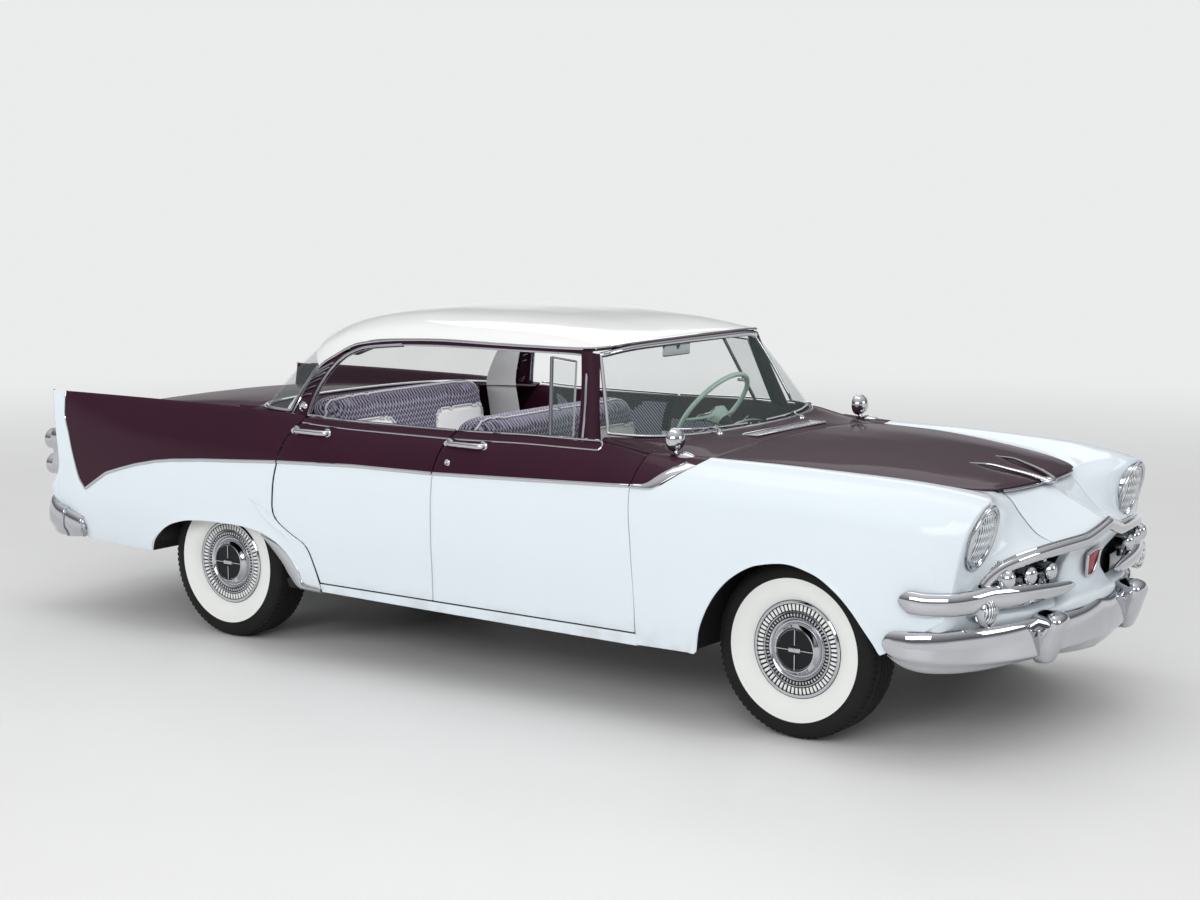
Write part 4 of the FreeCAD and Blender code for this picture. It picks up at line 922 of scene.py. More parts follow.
# %% [markdown]
# ## Nose beside the hood
# Between hood and headlight the pale sheet metal continues from the fender's crown, curves down in
# front, and ends at the grille moulding. Its ribs follow the hood's edge at one end and the
# fender's front at the other.

# %% Nose sides
SEAM = ((2392, 950), (2352, 915), (2312, 836), (2312, 715), (2344, 606))
CORNER = ((2440, 950), (2426, 915), (2404, 836), (2382, 715), (2366, 606))
FASCIA_RIBS = (
    # from the hood's edge outwards; each runs from the top down to the grille moulding
    ((2300, 299, 951), (2338, 303, 924), (2392, 308, 862), (2464, 314, 800), (2567, 320, 767)),
    ((2290, 392, 962), (2352, 396, 925), (2402, 400, 858), (2462, 405, 796), (2545, 410, 760)),
    ((2318, 500, 975), (2380, 500, 928), (2408, 500, 852), (2446, 500, 784), (2520, 505, 748)),
    ((2388, 596, 984), (2408, 596, 935), (2402, 596, 842), (2412, 592, 766), (2476, 590, 722)),
    ((2444, 694, 976), (2436, 694, 925), (2402, 694, 838), (2374, 692, 745), (2402, 692, 660)),
    [on_side(x, z, 0.6) - (0, 12, 0) for x, z in CORNER],
    [on_side(x, z, 1.4) for x, z in SEAM],
)
fascia_place = ribbed(FASCIA_RIBS)
LOWER_RIBS = (
    [on_side(x, z, out) for x, z, out in ((2296, 600, -2), (2262, 540, -3), (2232, 490, -14), (2200, 430, -34))],
    [on_side(x, z, out) for x, z, out in ((2344, 606, 1.4), (2328, 560, 1.4), (2312, 510, -8), (2280, 440, -34))],
    [on_side(x, z, -out) for x, z, out in ((2366, 606, 12), (2354, 560, 12), (2336, 510, 22), (2306, 440, 44))],
    ((2386, 754, 640), (2378, 756, 565), (2358, 748, 510), (2330, 740, 440)),
    ((2400, 706, 668), (2394, 706, 575), (2376, 702, 515), (2350, 696, 440)),
    ((2410, 668, 630), (2408, 668, 575), (2400, 668, 515), (2386, 668, 440)),
    ((2440, 540, 620), (2440, 540, 575), (2430, 540, 520), (2410, 540, 440)),
    ((2440, 440, 610), (2440, 440, 572), (2435, 440, 520), (2420, 440, 440)),
)


LAMP_X, LAMP_Y, LAMP_Z = 2402, 690, 838
LAMP_WIDE, LAMP_TALL = 90, 116


def fascia_pocket(u, v):
    """The nose side, pressed back inside the headlight's oval."""
    point = np.array(fascia_place(u, v))
    away = math.hypot((point[1] - LAMP_Y) / LAMP_WIDE, (point[2] - LAMP_Z) / LAMP_TALL)
    point[0] -= 40 * max(0.0, min(1.0, (1.04 - away) / 0.16))
    return point


for side_name, side in SIDES:
    cheek = panel(f"nose_{side_name}", handed(side, fascia_pocket), 72, 48, (1, 0, 0))
    lower = panel(f"nose_lower_{side_name}", handed(side, ribbed(LOWER_RIBS)), 36, 10, (1, side * 0.3, 0))
    whole_nose = joined(f"nose_side_{side_name}", [cheek, lower])
    dressed(whole_nose, "body", pale_paint, "paint_pale", ["nose_panel"] if side < 0 else ())

# %% [markdown]
# ## Cowl, deck and trunk lid
# Between hood and windshield lies the plum cowl. Behind the rear window the deck runs into the
# trunk lid, which rolls over at the tail and drops to the bumper.

# %% Cowl and deck
cowl_place = ribbed([
    ((1244, 0, 1070), (1180, 0, 1075), (1110, 0, 1079), (1012, 0, 1080)),
    ((1244, 250, 1067), (1180, 250, 1073), (1110, 250, 1078), (1000, 250, 1081)),
    ((1244, 470, 1056), (1180, 470, 1062), (1100, 470, 1071), (968, 465, 1084)),
    ((1244, 620, 1042), (1170, 625, 1049), (1070, 630, 1062), (905, 630, 1088)),
    ((1244, 682, 1034), (1160, 692, 1040), (1040, 706, 1052), (840, 712, 1090)),
    ((1244, 690, 1034), (1150, 704, 1039), (1008, 734, 1048), (752, 752, 1088)),
    ((1244, 692, 1032), (1150, 720, 1036), (1008, 764, 1042), (752, 772, 1074)),
    ((1244, 694, 1030), (1150, 724, 1030), (1008, 768, 1000), (752, 776, 1000)),
])
cowl_panel = panel("cowl_top", spanning(cowl_place), 60, 12, (0, 0, 1))
dressed(cowl_panel, "body", plum_paint, "paint_plum")
deck_place = ribbed([
    ((-1412, 0, 1066), (-1425, 0, 1064), (-1443, 0, 1062)),
    ((-1400, 250, 1066), (-1420, 250, 1063), (-1443, 250, 1061)),
    ((-1360, 470, 1066), (-1400, 470, 1061), (-1443, 460, 1057)),
    ((-1270, 642, 1067), (-1340, 632, 1058), (-1443, 600, 1050)),
    ((-1130, 732, 1068), (-1240, 690, 1056), (-1443, 640, 1042)),
])
LID_RIBS = (
    # from the middle to the edge
    ((-1450, 0, 1061), (-1450, 250, 1060), (-1450, 460, 1056), (-1450, 640, 1040)),
    ((-1700, 0, 1056), (-1700, 250, 1054), (-1700, 460, 1048), (-1700, 640, 1024)),
    ((-1950, 0, 1042), (-1950, 250, 1040), (-1950, 460, 1032), (-1950, 640, 1007)),
    ((-2200, 0, 1020), (-2200, 250, 1018), (-2200, 460, 1009), (-2200, 640, 985)),
    ((-2380, 0, 992), (-2380, 250, 990), (-2380, 460, 981), (-2375, 640, 960)),
    ((-2480, 0, 957), (-2479, 250, 955), (-2476, 460, 946), (-2462, 640, 928)),
    ((-2524, 0, 900), (-2522, 250, 898), (-2516, 460, 890), (-2500, 640, 876)),
    ((-2540, 0, 820), (-2538, 250, 819), (-2532, 460, 814), (-2516, 640, 804)),
    ((-2545, 0, 740), (-2543, 250, 739), (-2538, 460, 736), (-2524, 640, 732)),
    ((-2543, 0, 668), (-2541, 250, 668), (-2536, 460, 668), (-2524, 640, 668)),
)
deck_panel = panel("rear_deck_top", spanning(deck_place), 60, 8, (0, 0, 1))
dressed(deck_panel, "body", plum_paint, "paint_plum")
trunk_place = ribbed(LID_RIBS)
trunk = panel("trunk_lid_skin", whole(trunk_place), 60, 44, (0, 0, 1), wall=18, edge=3)
dressed(trunk, "trunk_lid", plum_paint, "paint_plum", ["trunk_lid"])

# %% Tail faces
tail_rib_edge = [(x, side_y(x, z), z) for x, z in TAIL_EDGE[:-2] + ((-2480, 955), (-2483, 972)) + TAIL_EDGE[-2:]]
tail_face_place = ribbed([
    tail_rib_edge,
    [(x - 6, y - 6 if z > 960 else y - 40, z) for x, y, z in tail_rib_edge],
    [(x - 12, 852 if z > 960 else 770, z) for x, y, z in tail_rib_edge],
    [(x - 8, 846, z) if z > 960 else (-2514, 650, z) for x, y, z in tail_rib_edge],
])
for side_name, side in SIDES:
    tail = panel(f"tail_face_{side_name}", handed(side, tail_face_place), 14, 40, (-1, 0, 0))
    dressed(tail, "body", pale_paint, "paint_pale", ["front_fenders", "rear_quarters"] if side < 0 else ())

# %% [markdown]
# ## Side mouldings
# Bright strips cover the joint between the two paints and frame the windows. Each is a rod laid on
# the body's surface and pressed flat, cut at the doors' gaps so that it opens with them.

# %% Strips on the side
def strip(name, xs, height, side, radius=4.0, flat=1.0, proud=1.0, steps=60):
    """A moulding along the side at height(x)."""
    run = lambda share: hand(on_side(x := xs[0] + (xs[1] - xs[0]) * share, height(x), proud), side)
    return tube(name, None, radius, flat=flat, steps=steps, sides=8, run=run)


def belt(x):
    return crest(x)[2]


CUTS_AT_BREAK = ((-2221, -929), (-921, -23), (-16, 983), (990, 1092))
OWNERS = ("body", "rear_door_{}", "front_door_{}", "body")
for side_name, side in SIDES:
    for number, (cut, owner) in enumerate(zip(CUTS_AT_BREAK, OWNERS)):
        moulding = strip(f"break_moulding_{side_name}_{number}", cut, lambda x: break_height(x) + 1, side, 4.2, 1.9,
                         steps=90)
        dressed(moulding, owner.format(side_name), chrome, "chrome")
    for number, (cut, owner) in enumerate((((-800, 40), "rear_door_{}"), ((56, 790), "front_door_{}"))):
        upper = tube("upper", None, 4.5, steps=50, sides=8, run=lambda share: hand(
            crest(cut[0] + (cut[1] - cut[0]) * share) + (0, 1, 4), side))
        lower = strip("lower", (cut[0] - 18 * (number == 0), cut[1] - 18), lambda x: belt(x) - 31, side, 3.6,
                      steps=50)
        parts = [upper, lower]
        if number:
            end = [crest(790) + (0, 1, 4), on_side(799, belt(795) - 12, 1), on_side(790, belt(785) - 28, 1),
                   on_side(770, belt(770) - 31, 1)]
            parts.append(tube("end", hand(end, side), 3.8, steps=12, sides=8))
        bright(f"belt_strips_{side_name}_{number}", parts, owner.format(side_name))
print("break moulding length", CUTS_AT_BREAK[0][1] - CUTS_AT_BREAK[0][0])

# %% [markdown]
# ## Chrome flash and tail edge
# On the fender the strip widens into a flash that sweeps up to the mirror's foot. At the tail a thin
# strip follows the front of the pale fin edge down to the point of the break.

# %% Flash, fin strip and stone guard
flash_low = Path([(996, 920), (1080, 922), (1104, 932), (1136, 955), (1184, 988), (1236, 1020)])
flash_high = Path([(996, 938), (1040, 941), (1064, 950), (1092, 972), (1132, 1002), (1180, 1030)])


def flash_place(u, v):
    x, z = flash_low(u) * (1 - v) + flash_high(u) * v
    return on_side(x, z, 3 + 5 * math.sin(math.pi * v))


guard_outer = Path([(-666, 322), (-772, 331), (-797, 387), (-847, 452), (-928, 511), (-1010, 537)])
guard_inner = Path([(-666, 298), (-800, 302), (-856, 350), (-900, 410), (-958, 470), (-1018, 522)])


def guard_place(u, v):
    x, z = guard_inner(u) * (1 - v) + guard_outer(u) * v
    return on_side(x, z, 6 * v - 2 + 9 * math.sin(math.pi * v))


fin_strip = Path([(-2225, 624), (-2266, 668), (-2321, 789), (-2359, 880), (-2396, 970), (-2406, 1080)])
for side_name, side in SIDES:
    flash = panel("flash", handed(side, flash_place), 30, 8, (0, side, 0))
    guard = panel("guard", handed(side, guard_place), 30, 8, (0, side, 0))
    fin = tube("fin", None, 3.4, steps=60, sides=8, run=lambda share: hand(on_side(*fin_strip(share), 1), side))
    bright(f"chrome_flash_{side_name}", [flash, guard, fin])

# %% [markdown]
# ## Door handles, locks and mirrors
# A pull handle is an arched bar on two round feet, with a push button at its end and a key lock
# below. The mirror is a chrome bowl on a short stalk, with its glass facing the driver.

# %% Handles
def handle(name, middle, height, side, lock):
    def at(dx, dz=0, out=0):
        return hand(on_side(middle + dx, height + dz, out), side)

    bar = [at(-98, 0, -2), at(-92, 0, 14), at(-60, 1, 27), at(0, 2, 32), at(60, 1, 27), at(92, 0, 14), at(98, 0, -2)]
    parts = [tube("bar", bar, 10, flat=1.25, steps=60, sides=12)]
    for dx in (-92, 92):
        parts.append(turned("foot", [(-4, 1), (-4, 21), (3, 21), (7, 17), (9, 10), (9, 1)], at(dx), steps=24,
                            side=side))
    parts.append(turned("button", [(-4, 1), (-4, 13), (14, 13), (18, 10), (19, 1)], at(-92, 0, 8), steps=24,
                        side=side))
    if lock:
        parts.append(turned("lock", [(-4, 1), (-4, 15), (3, 15), (6, 11), (5, 4), (3, 1)], at(-74, -78), steps=24,
                            side=side))
    return joined(name, parts)


for side_name, side in SIDES:
    dressed(handle(f"front_handle_{side_name}", 128, 1021, side, True), f"front_door_{side_name}", chrome, "chrome")
    dressed(handle(f"rear_handle_{side_name}", -748, 1010, side, False), f"rear_door_{side_name}", chrome, "chrome")

# %% Mirrors
mirror_glass = metal("mirror_glass", (0.75, 0.78, 0.80), 0.01, 0.03)
BOWL = [(-12, 1), (-12, 40), (-15, 41), (-15, 44), (-10, 47), (0, 48), (14, 44), (28, 33), (37, 18), (40, 1)]
for side_name, side in SIDES:
    bowl_at = (1093, side * 745, 1104)
    bowl = turned("bowl", BOWL, bowl_at, axis="x", steps=40)
    stalk_line = hand([(1094, 745, 1070), (1100, 745, 1052), (1122, 746, 1040), (1150, 748, 1034)], side)
    stalk = tube("stalk", stalk_line, 9, steps=20, sides=12)
    foot = turned("foot", [(-10, 1), (-10, 36), (2, 36), (14, 30), (24, 18), (28, 1)], (0, 0, 0), axis="z", steps=32)
    for point in foot.data.vertices:
        x, y, z = point.co
        stretch = 1.75 if x > 0 else 1.1
        point.co = (x * stretch + 1.142, y * (1 - max(0, x) * 5) + side * 0.748, z + 1.033 - max(0, x) * 0.12)
    bright(f"mirror_{side_name}", [bowl, stalk, foot], replaces=["spotlights"] if side < 0 else ())
    glass = turned(f"mirror_glass_{side_name}", [(-14.5, 1), (-14.5, 39), (-12.5, 39), (-12.5, 1)], bowl_at,
                   axis="x", steps=40)
    dressed(glass, "body", mirror_glass)

# %% [markdown]
# ## Window and roof mouldings
# Drip rails carry rain from the roof's hem round to the belt. The windshield and the rear window
# sit in chrome frames, and each rear pillar has six short louvres over a round plain badge.

# %% Roof trim
DRIP = ((-962, 779, 1070), (-940, 750, 1140), (-914, 724, 1206), (-886, 699, 1262), (-868, 694, 1283),
        (-782, 695, 1331), (-630, 693, 1394), (-380, 689, 1423), (-120, 685, 1432), (150, 678, 1430),
        (395, 665, 1430), (510, 651, 1430), (600, 625, 1432), (650, 562, 1438), (656, 400, 1443), (654, 0, 1444))
BAND = ((-838, 808, 1072), (-810, 782, 1170), (-768, 743, 1262), (-716, 705, 1328), (-672, 697, 1352),
        (-600, 698, 1375), (-546, 697, 1384), (-376, 693, 1401), (-120, 689, 1409), (150, 682, 1410),
        (395, 669, 1410), (510, 655, 1409), (575, 642, 1404))
POST = ((580, 643, 1405), (590, 650, 1380), (616, 692, 1296), (640, 734, 1180), (664, 784, 1072))
for side_name, side in SIDES:
    drip = tube("drip", hand(DRIP, side), 6, steps=160, sides=8)
    band = tube("band", hand(BAND[:8], side) + (0, side, 0), 12, flat=0.8, steps=60)
    rail = tube("rail", hand(BAND[6:], side) + (0, side, 0), 5, steps=60, sides=8)
    post = tube("post", hand(POST, side), 6, steps=40, sides=8)
    louvres = []
    for number in range(6):
        share = 0.24 + 0.098 * number
        points = [hand(rear_pillar_place(u, share), side) + (0, side * 4, 0) for u in (0.26, 0.46, 0.66)]
        louvres.append(tube("louvre", points, 7, flat=0.7, steps=8, sides=8))
    badge = turned("badge", [(-3, 1), (-3, 24), (4, 24), (7, 20), (5, 17), (6, 10), (7, 1)],
                   hand(rear_pillar_place(0.42, 0.09), side), steps=36, side=side)
    bright(f"roof_trim_{side_name}", [drip, band, rail, post, badge] + louvres)

# %% Glass frames
def rim_points(place, edge, count=24, share=1.0):
    """Points round a half pane's edges: base from the middle out, then up its side."""
    base = [place(u, 0) for u in np.linspace(0, 1, count)]
    up = [place(1, v * share) for v in np.linspace(0.1, 1, 8)]
    return base + up if edge == "side" else base


front_edge = rim_points(windshield_place, "side", share=0.97)
rear_edge = rim_points(rear_glass_place, "side")
for name, half, size, lift in (("windshield_frame", front_edge, 8, 2), ("rear_window_frame", rear_edge, 11, 3)):
    points = both_ways(half, (0, 0, lift))
    dressed(tube(name, points, size, steps=220, flat=0.8), "body", chrome, "chrome")
header = both_ways([windshield_place(u, 0.955) for u in np.linspace(0, 1, 16)])
dressed(tube("windshield_header", header, 9, steps=120, flat=1.3), "body", chrome, "chrome")
header_band = panel("header_band", spanning(lambda u, v: windshield_place(u, 0.94 + 0.07 * v) + (3, 0, 2)),
                    60, 4, (1, 0, 0))
dressed(header_band, "body", plum_paint, "paint_plum")

# %% [markdown]
# ## Front bumper
# The bumper is one pressing: two wings that wrap round the corners and a fuller middle, rolled in at
# the top and bottom, with a crease below half its height. Each rib is one section of that pressing.
# Two upright guards stand in front of it like blunt horns.

# %% Bumper ribs
def bumper_rib(x, y, aim, top, crease, bottom, depth=1.0):
    """A section from the top's inner lip to the bottom's; aim is the way it faces, in degrees from +X."""
    out_x, out_y = math.cos(math.radians(aim)), math.sin(math.radians(aim))
    inward = [(62, top - 8), (24, top), (6, top - 0.28 * (top - crease)), (0, crease + 0.25 * (top - crease)),
              (1, crease), (16, crease - 0.5 * (crease - bottom)), (34, bottom), (64, bottom + 10)]
    return [(x - depth * back * out_x, y - depth * back * out_y, z) for back, z in inward]


FRONT_WING = (
    # x, y, aim, top, crease, bottom, depth
    (2128, 916, 100, 462, 448, 438, 0.25),
    (2142, 920, 95, 484, 426, 405, 0.5),
    (2168, 920, 88, 496, 414, 380, 0.8),
    (2220, 914, 78, 501, 407, 358, 1),
    (2285, 890, 66, 503, 401, 346, 1),
    (2346, 844, 54, 504, 394, 342, 1),
    (2398, 778, 44, 505, 387, 340, 1),
    (2446, 695, 34, 504, 380, 341, 1),
    (2490, 592, 26, 503, 374, 345, 1),
    (2524, 482, 20, 506, 370, 348, 1),
    (2550, 380, 16, 508, 368, 349, 1),
    (2572, 280, 12, 500, 376, 344, 1),
    (2590, 150, 6, 500, 378, 334, 1),
    (2598, 0, 0, 516, 378, 324, 1),
)
front_bar = ribbed([bumper_rib(*station) for station in FRONT_WING])


def across(bar):
    """A wing that runs from its tip to the car's middle, and its mirror image."""
    return lambda u, v: np.array(bar(1 - abs(2 * u - 1), v)) * (1, -1 if u < 0.5 else 1, 1)


front_bumper = panel("front_bumper_bar", across(front_bar), 150, 26, (1, 0, 0), wall=4, edge=1.5)


def horn(name, spine, middle, side, facing=1):
    """An upright guard: spine rows are (x, z, half width, x and z of the way it faces)."""
    ribs = []
    for x, z, half, out_x, out_z in spine:
        row = []
        for share, back in ((-1, 92), (-1, 50), (-0.97, 22), (-0.78, 6), (-0.42, 0), (0, -2), (0.42, 0), (0.78, 6),
                            (0.97, 22), (1, 50), (1, 92)):
            row.append((x - back * out_x * facing, middle + half * share, z - back * out_z))
        ribs.append(row)
    return panel(name, handed(side, ribbed(ribs)), 40, 32, (facing, 0, 0.3), wall=5)


FRONT_GUARD = ((2512, 328, 36, 0.6, -0.8), (2556, 334, 46, 0.95, -0.3), (2582, 380, 54, 1, 0), (2602, 440, 60, 1, 0),
               (2616, 488, 64, 0.95, 0.3), (2604, 516, 64, 0.6, 0.8), (2570, 530, 60, 0.2, 1), (2530, 530, 50, 0, 1),
               (2480, 518, 38, -0.1, 1), (2440, 500, 20, -0.2, 1))
guards = [horn(f"guard_{number}", FRONT_GUARD, 380, side) for number, (_, side) in enumerate(SIDES)]
bright("front_bumper_chrome", [front_bumper] + guards, replaces=["front_bumper"])
print("bumper depth", round(front_bumper.dimensions.x, 3))

# %% [markdown]
# ## Grille
# The mouth is a black sheet that stands in for the shade inside the opening. It is framed by a heavy
# moulding above that peaks in the middle, and by a bar below that runs out round the corner of the
# fender. Three blunt teeth stand on each side. The pale middle carries a plain boss.

# %% Grille pieces
MOULDING = ((2428, 705, 662), (2446, 672, 694), (2474, 625, 722), (2508, 555, 742), (2546, 420, 758),
            (2572, 300, 765), (2592, 180, 770), (2602, 112, 784), (2609, 55, 800), (2614, 0, 814))
BAR = ((2192, 918, 616), (2210, 914, 617), (2290, 888, 608), (2374, 838, 610), (2422, 762, 614), (2452, 684, 620),
       (2486, 600, 616), (2516, 500, 611), (2542, 350, 604), (2558, 240, 603), (2563, 190, 603))


def bar_size(share):
    """The bar thins towards the middle and is rounded off at both ends."""
    ends = min(1, (share / 0.05 + 0.02) ** 0.5, ((1 - share) / 0.05 + 0.05) ** 0.5)
    return (28 - 18 * max(0, (share - 0.5) / 0.5) ** 1.5) * ends


TEETH = ((2486, 625), (2514, 500), (2536, 372))
grille_parts = []
for side_name, side in SIDES:
    grille_parts.append(tube("bar", hand(BAR, side), bar_size, flat=1.6, steps=110, sides=18))
    for x, y in TEETH:
        tooth = turned("tooth", [(-44, 1), (-44, 27), (-10, 31), (10, 30), (22, 24), (29, 12), (31, 1)],
                       (x, side * y, 682), axis="x", steps=32)
        for point in tooth.data.vertices:
            point.co.z = 0.682 + (point.co.z - 0.682) * 1.15
        grille_parts.append(tooth)
        grille_parts.append(block("tooth_post", (x - 40, side * y - 10, 620), (x - 14, side * y + 10, 750), bevel=4))
moulding = both_ways(MOULDING[::-1])
grille_parts.append(tube("moulding", moulding, 14, flat=1.6, steps=180, sides=16))
rim_line = [(x - 6, y, z + 27) for x, y, z in moulding[1:-1]]
grille_parts.append(tube("moulding_edge", rim_line, 5, steps=180, sides=8))
bright("grille_chrome", grille_parts, replaces=["grille"])

MIDDLE_RIBS = (
    ((2606, 0, 806), (2566, 0, 745), (2536, 0, 690), (2526, 0, 630), (2546, 0, 575), (2582, 0, 545), (2572, 0, 505)),
    ((2598, 80, 782), (2560, 80, 735), (2531, 80, 684), (2521, 80, 628), (2540, 80, 574), (2576, 80, 544),
     (2566, 80, 503)),
    ((2588, 160, 768), (2550, 158, 724), (2520, 158, 674), (2510, 166, 622), (2530, 184, 570), (2566, 186, 538),
     (2552, 190, 500)),
    ((2574, 225, 764), (2534, 200, 712), (2500, 184, 660), (2490, 192, 610), (2508, 226, 560), (2542, 255, 528),
     (2528, 270, 498)),
    ((2540, 232, 750), (2490, 190, 700), (2462, 172, 650), (2456, 190, 600), (2466, 244, 548), (2484, 322, 516),
     (2468, 360, 490)),
)
middle_place = ribbed(MIDDLE_RIBS)
middle = panel("grille_middle", spanning(middle_place), 44, 30, (1, 0, 0))
dressed(middle, "body", pale_paint, "paint_pale")
apron = panel("nose_apron", spanning(ribbed([
    ((2480, 300, 560), (2520, 300, 530), (2500, 300, 490)),
    ((2466, 450, 556), (2496, 450, 530), (2470, 450, 486)),
    ((2440, 560, 552), (2456, 560, 528), (2430, 560, 480)),
    ((2420, 660, 548), (2424, 660, 520), (2400, 660, 474)),
])), 60, 10, (1, 0, 0))
dressed(apron, "body", pale_paint, "paint_pale")


def mouth_place(u, v):
    """A black sheet behind the teeth, cut to the moulding's line: painted shade standing in for the dark inside the
    grille opening.
    """
    y = 640 * (2 * u - 1)
    top = np.interp(abs(y), [row[1] for row in MOULDING[::-1]], [row[2] for row in MOULDING[::-1]]) - 8
    return np.array((2418, y, 505 + (top - 505) * v))


# A black sheet painted in as the shade inside the grille opening.
dressed(panel("grille_mouth_shade", mouth_place, 60, 8, (1, 0, 0)), "body", black_trim)
BOSS = ((2556, -60, 700), (2546, -45, 640), (2538, -22, 606), (2538, 22, 606), (2546, 45, 640), (2556, 60, 700),
        (2562, 0, 712))
dressed(tube("boss_rim", BOSS, 7, closed=True, steps=70), "body", chrome, "chrome")
enamel = dull("red_enamel", (0.28, 0.010, 0.022), 0.2, 300, 0.05, 0.3, 0.6)
inlay = patch(Path([(2536, -24, 610), (2536, 24, 610)]), Path([(2554, -56, 700), (2560, 0, 708), (2554, 56, 700)]),
              Path([(2536, -24, 610), (2542, -43, 640), (2554, -56, 700)]),
              Path([(2536, 24, 610), (2542, 43, 640), (2554, 56, 700)]))
dressed(panel("boss_inlay", inlay, 14, 14, (1, 0, 0), wall=6), "body", enamel)

# %% [markdown]
# ## Headlights and parking lamps
# A headlight is an upright oval: a chrome rim that leans forward at the top under the brow, and a
# pressed-glass lens with upright flutes, whose bright and dark bands are painted highlights. The parking lamp is a
# round pod on the bar.

# %% Lamps
flutes = Finish("fluted_glass_painted_glints", Roughness=0.06, Metallic=0.8, Coat_Weight=1.0, Coat_Roughness=0.02)
ridge = flutes.node("ShaderNodeTexWave", {"wave_type": "BANDS", "bands_direction": "Y"}, flutes.place, 28.0, 1.5,
                    out=1)
cross = flutes.node("ShaderNodeTexWave", {"wave_type": "BANDS", "bands_direction": "Z"}, flutes.place, 9.0, 0.6,
                    out=1)
# The lens colour is a painted highlight: near-white bands on the flutes' ridges, dark between them.
flutes.set("Base Color", flutes.mix((ridge * 0.7 + cross * 0.4).step(0.35, 0.75), (0.10, 0.13, 0.16),
                                    (0.95, 0.97, 0.98)))
flutes.bump(ridge + cross * 0.7, 0.9, 0.006)
POD = [(-110, 1), (-110, 26), (-70, 50), (-16, 62), (4, 65), (10, 62), (9, 56), (2, 53), (2, 1)]
POD_GLASS = [(1, 1), (1, 53), (6, 53), (18, 42), (27, 20), (29, 1)]


def lamp_face(share, angle, bulge):
    """A point on the headlight's leaning oval; share 1 is its edge."""
    dy, dz = LAMP_WIDE * share * math.cos(angle), LAMP_TALL * share * math.sin(angle)
    return np.array((LAMP_X + 0.30 * dz + bulge * (1 - share ** 2), LAMP_Y + dy, LAMP_Z + dz))


def collar_place(u, v):
    """A short sleeve behind the rim, that closes in by the rim's overhang."""
    angle, overhang = u * TURN, 0.07
    inwards = np.array((0, LAMP_WIDE * math.cos(angle), LAMP_TALL * math.sin(angle))) * overhang * v
    return lamp_face(1 + overhang, angle, 0) + (30 * v - 24, 0, 0) - inwards


for side_name, side in SIDES:
    rim = tube("rim", None, 10, closed=True, steps=72, sides=12,
               run=lambda share: hand(lamp_face(1, share * TURN, 0), side) + (14, 0, 0))
    inner = tube("inner", None, 5, closed=True, steps=72, sides=8,
                 run=lambda share: hand(lamp_face(0.88, share * TURN, 0), side) + (12, 0, 0))
    collar = panel("collar", handed(side, collar_place), 72, 4, (1, 0, 0))
    bright(f"headlight_rim_{side_name}", [rim, inner, collar], replaces=["headlights"] if side < 0 else ())
    lens_face = panel(f"headlight_lens_{side_name}",
                      lambda u, v: hand(lamp_face(v * 0.93 + 0.004, u * TURN, 26), side) + (8, 0, 0),
                      48, 14, (1, 0, 0), wall=4, edge=0)
    dressed(outward(lens_face), "body", flutes.material, "lamp_glass")
    pod_at = (2452, side * 700, 576)
    pod = turned("pod", POD, pod_at, axis="x", steps=48)
    dressed(pod, "body", chrome, "chrome", ["parking_lamps"] if side < 0 else ())
    pod.name = f"parking_pod_{side_name}"
    # The parking glass carries the same painted highlight bands.
    glass = turned(f"parking_glass_{side_name}", POD_GLASS, pod_at, axis="x", steps=48)
    dressed(glass, "body", flutes.material, "lamp_glass")

# %% [markdown]
# ## Hood ornament
# The hood's peak carries a bright edge and a low plain ornament: a pair of swept blades over a
# short bright beak.

# %% Ornament
lip_line = both_ways([hood_place(1, share) for share in np.linspace(0, 0.92, 16)], (3, 0, -9))
edge = tube("edge", lip_line, 4.5, steps=90, sides=8)
BLADE = ((2060, 120, 1020), (2140, 105, 1020), (2230, 82, 1004), (2310, 55, 984), (2366, 30, 964))
blades = []
for side in (-1, 1):
    blades.append(tube("blade", hand(BLADE, side), lambda share: 2 + 5 * share, flat=1.6, steps=40))
beak = turned("beak", [(-60, 1), (-60, 12), (-20, 21), (14, 22), (30, 14), (36, 1)], (2352, 0, 962), axis="x",
              steps=24)
for point in beak.data.vertices:
    point.co.z = 0.962 + (point.co.z - 0.962) * 0.6
    point.co.y *= 1.9
bright("hood_ornament", [edge, beak] + blades, "hood")

# %% [markdown]
# ## Rear bumper
# The rear bumper is drawn with the same sections as the front one, and wraps further round the
# corners, where it ends in a full rounded nose with an upright bright ring. Its two guards lean
# back a little.

# %% Rear bumper
REAR_WING = (
    # x, y, aim, top, crease, bottom, depth
    (-2258, 898, 75, 446, 430, 412, 0.3),
    (-2266, 908, 80, 468, 428, 392, 0.6),
    (-2290, 920, 86, 486, 426, 380, 0.9),
    (-2360, 928, 91, 508, 428, 374, 1),
    (-2440, 924, 98, 528, 434, 374, 1),
    (-2510, 902, 112, 544, 440, 378, 1),
    (-2572, 850, 132, 556, 446, 384, 1),
    (-2616, 764, 150, 562, 450, 388, 1),
    (-2644, 620, 164, 562, 452, 390, 1),
    (-2660, 420, 172, 560, 452, 390, 1),
    (-2670, 200, 177, 558, 450, 388, 1),
    (-2674, 0, 180, 558, 450, 388, 1),
)
rear_bar = ribbed([bumper_rib(*station) for station in REAR_WING])
rear_bumper = panel("rear_bumper_bar", across(rear_bar), 150, 26, (-1, 0, 0), wall=4, edge=1.5)
REAR_GUARD = ((-2600, 376, 34, 0.6, -0.8), (-2646, 380, 44, 0.95, -0.3), (-2672, 430, 52, 1, 0),
              (-2682, 500, 58, 1, 0), (-2684, 560, 60, 1, 0.2), (-2668, 598, 58, 0.6, 0.8), (-2640, 610, 52, 0.2, 1),
              (-2600, 606, 44, 0, 1))
rear_parts = [rear_bumper]
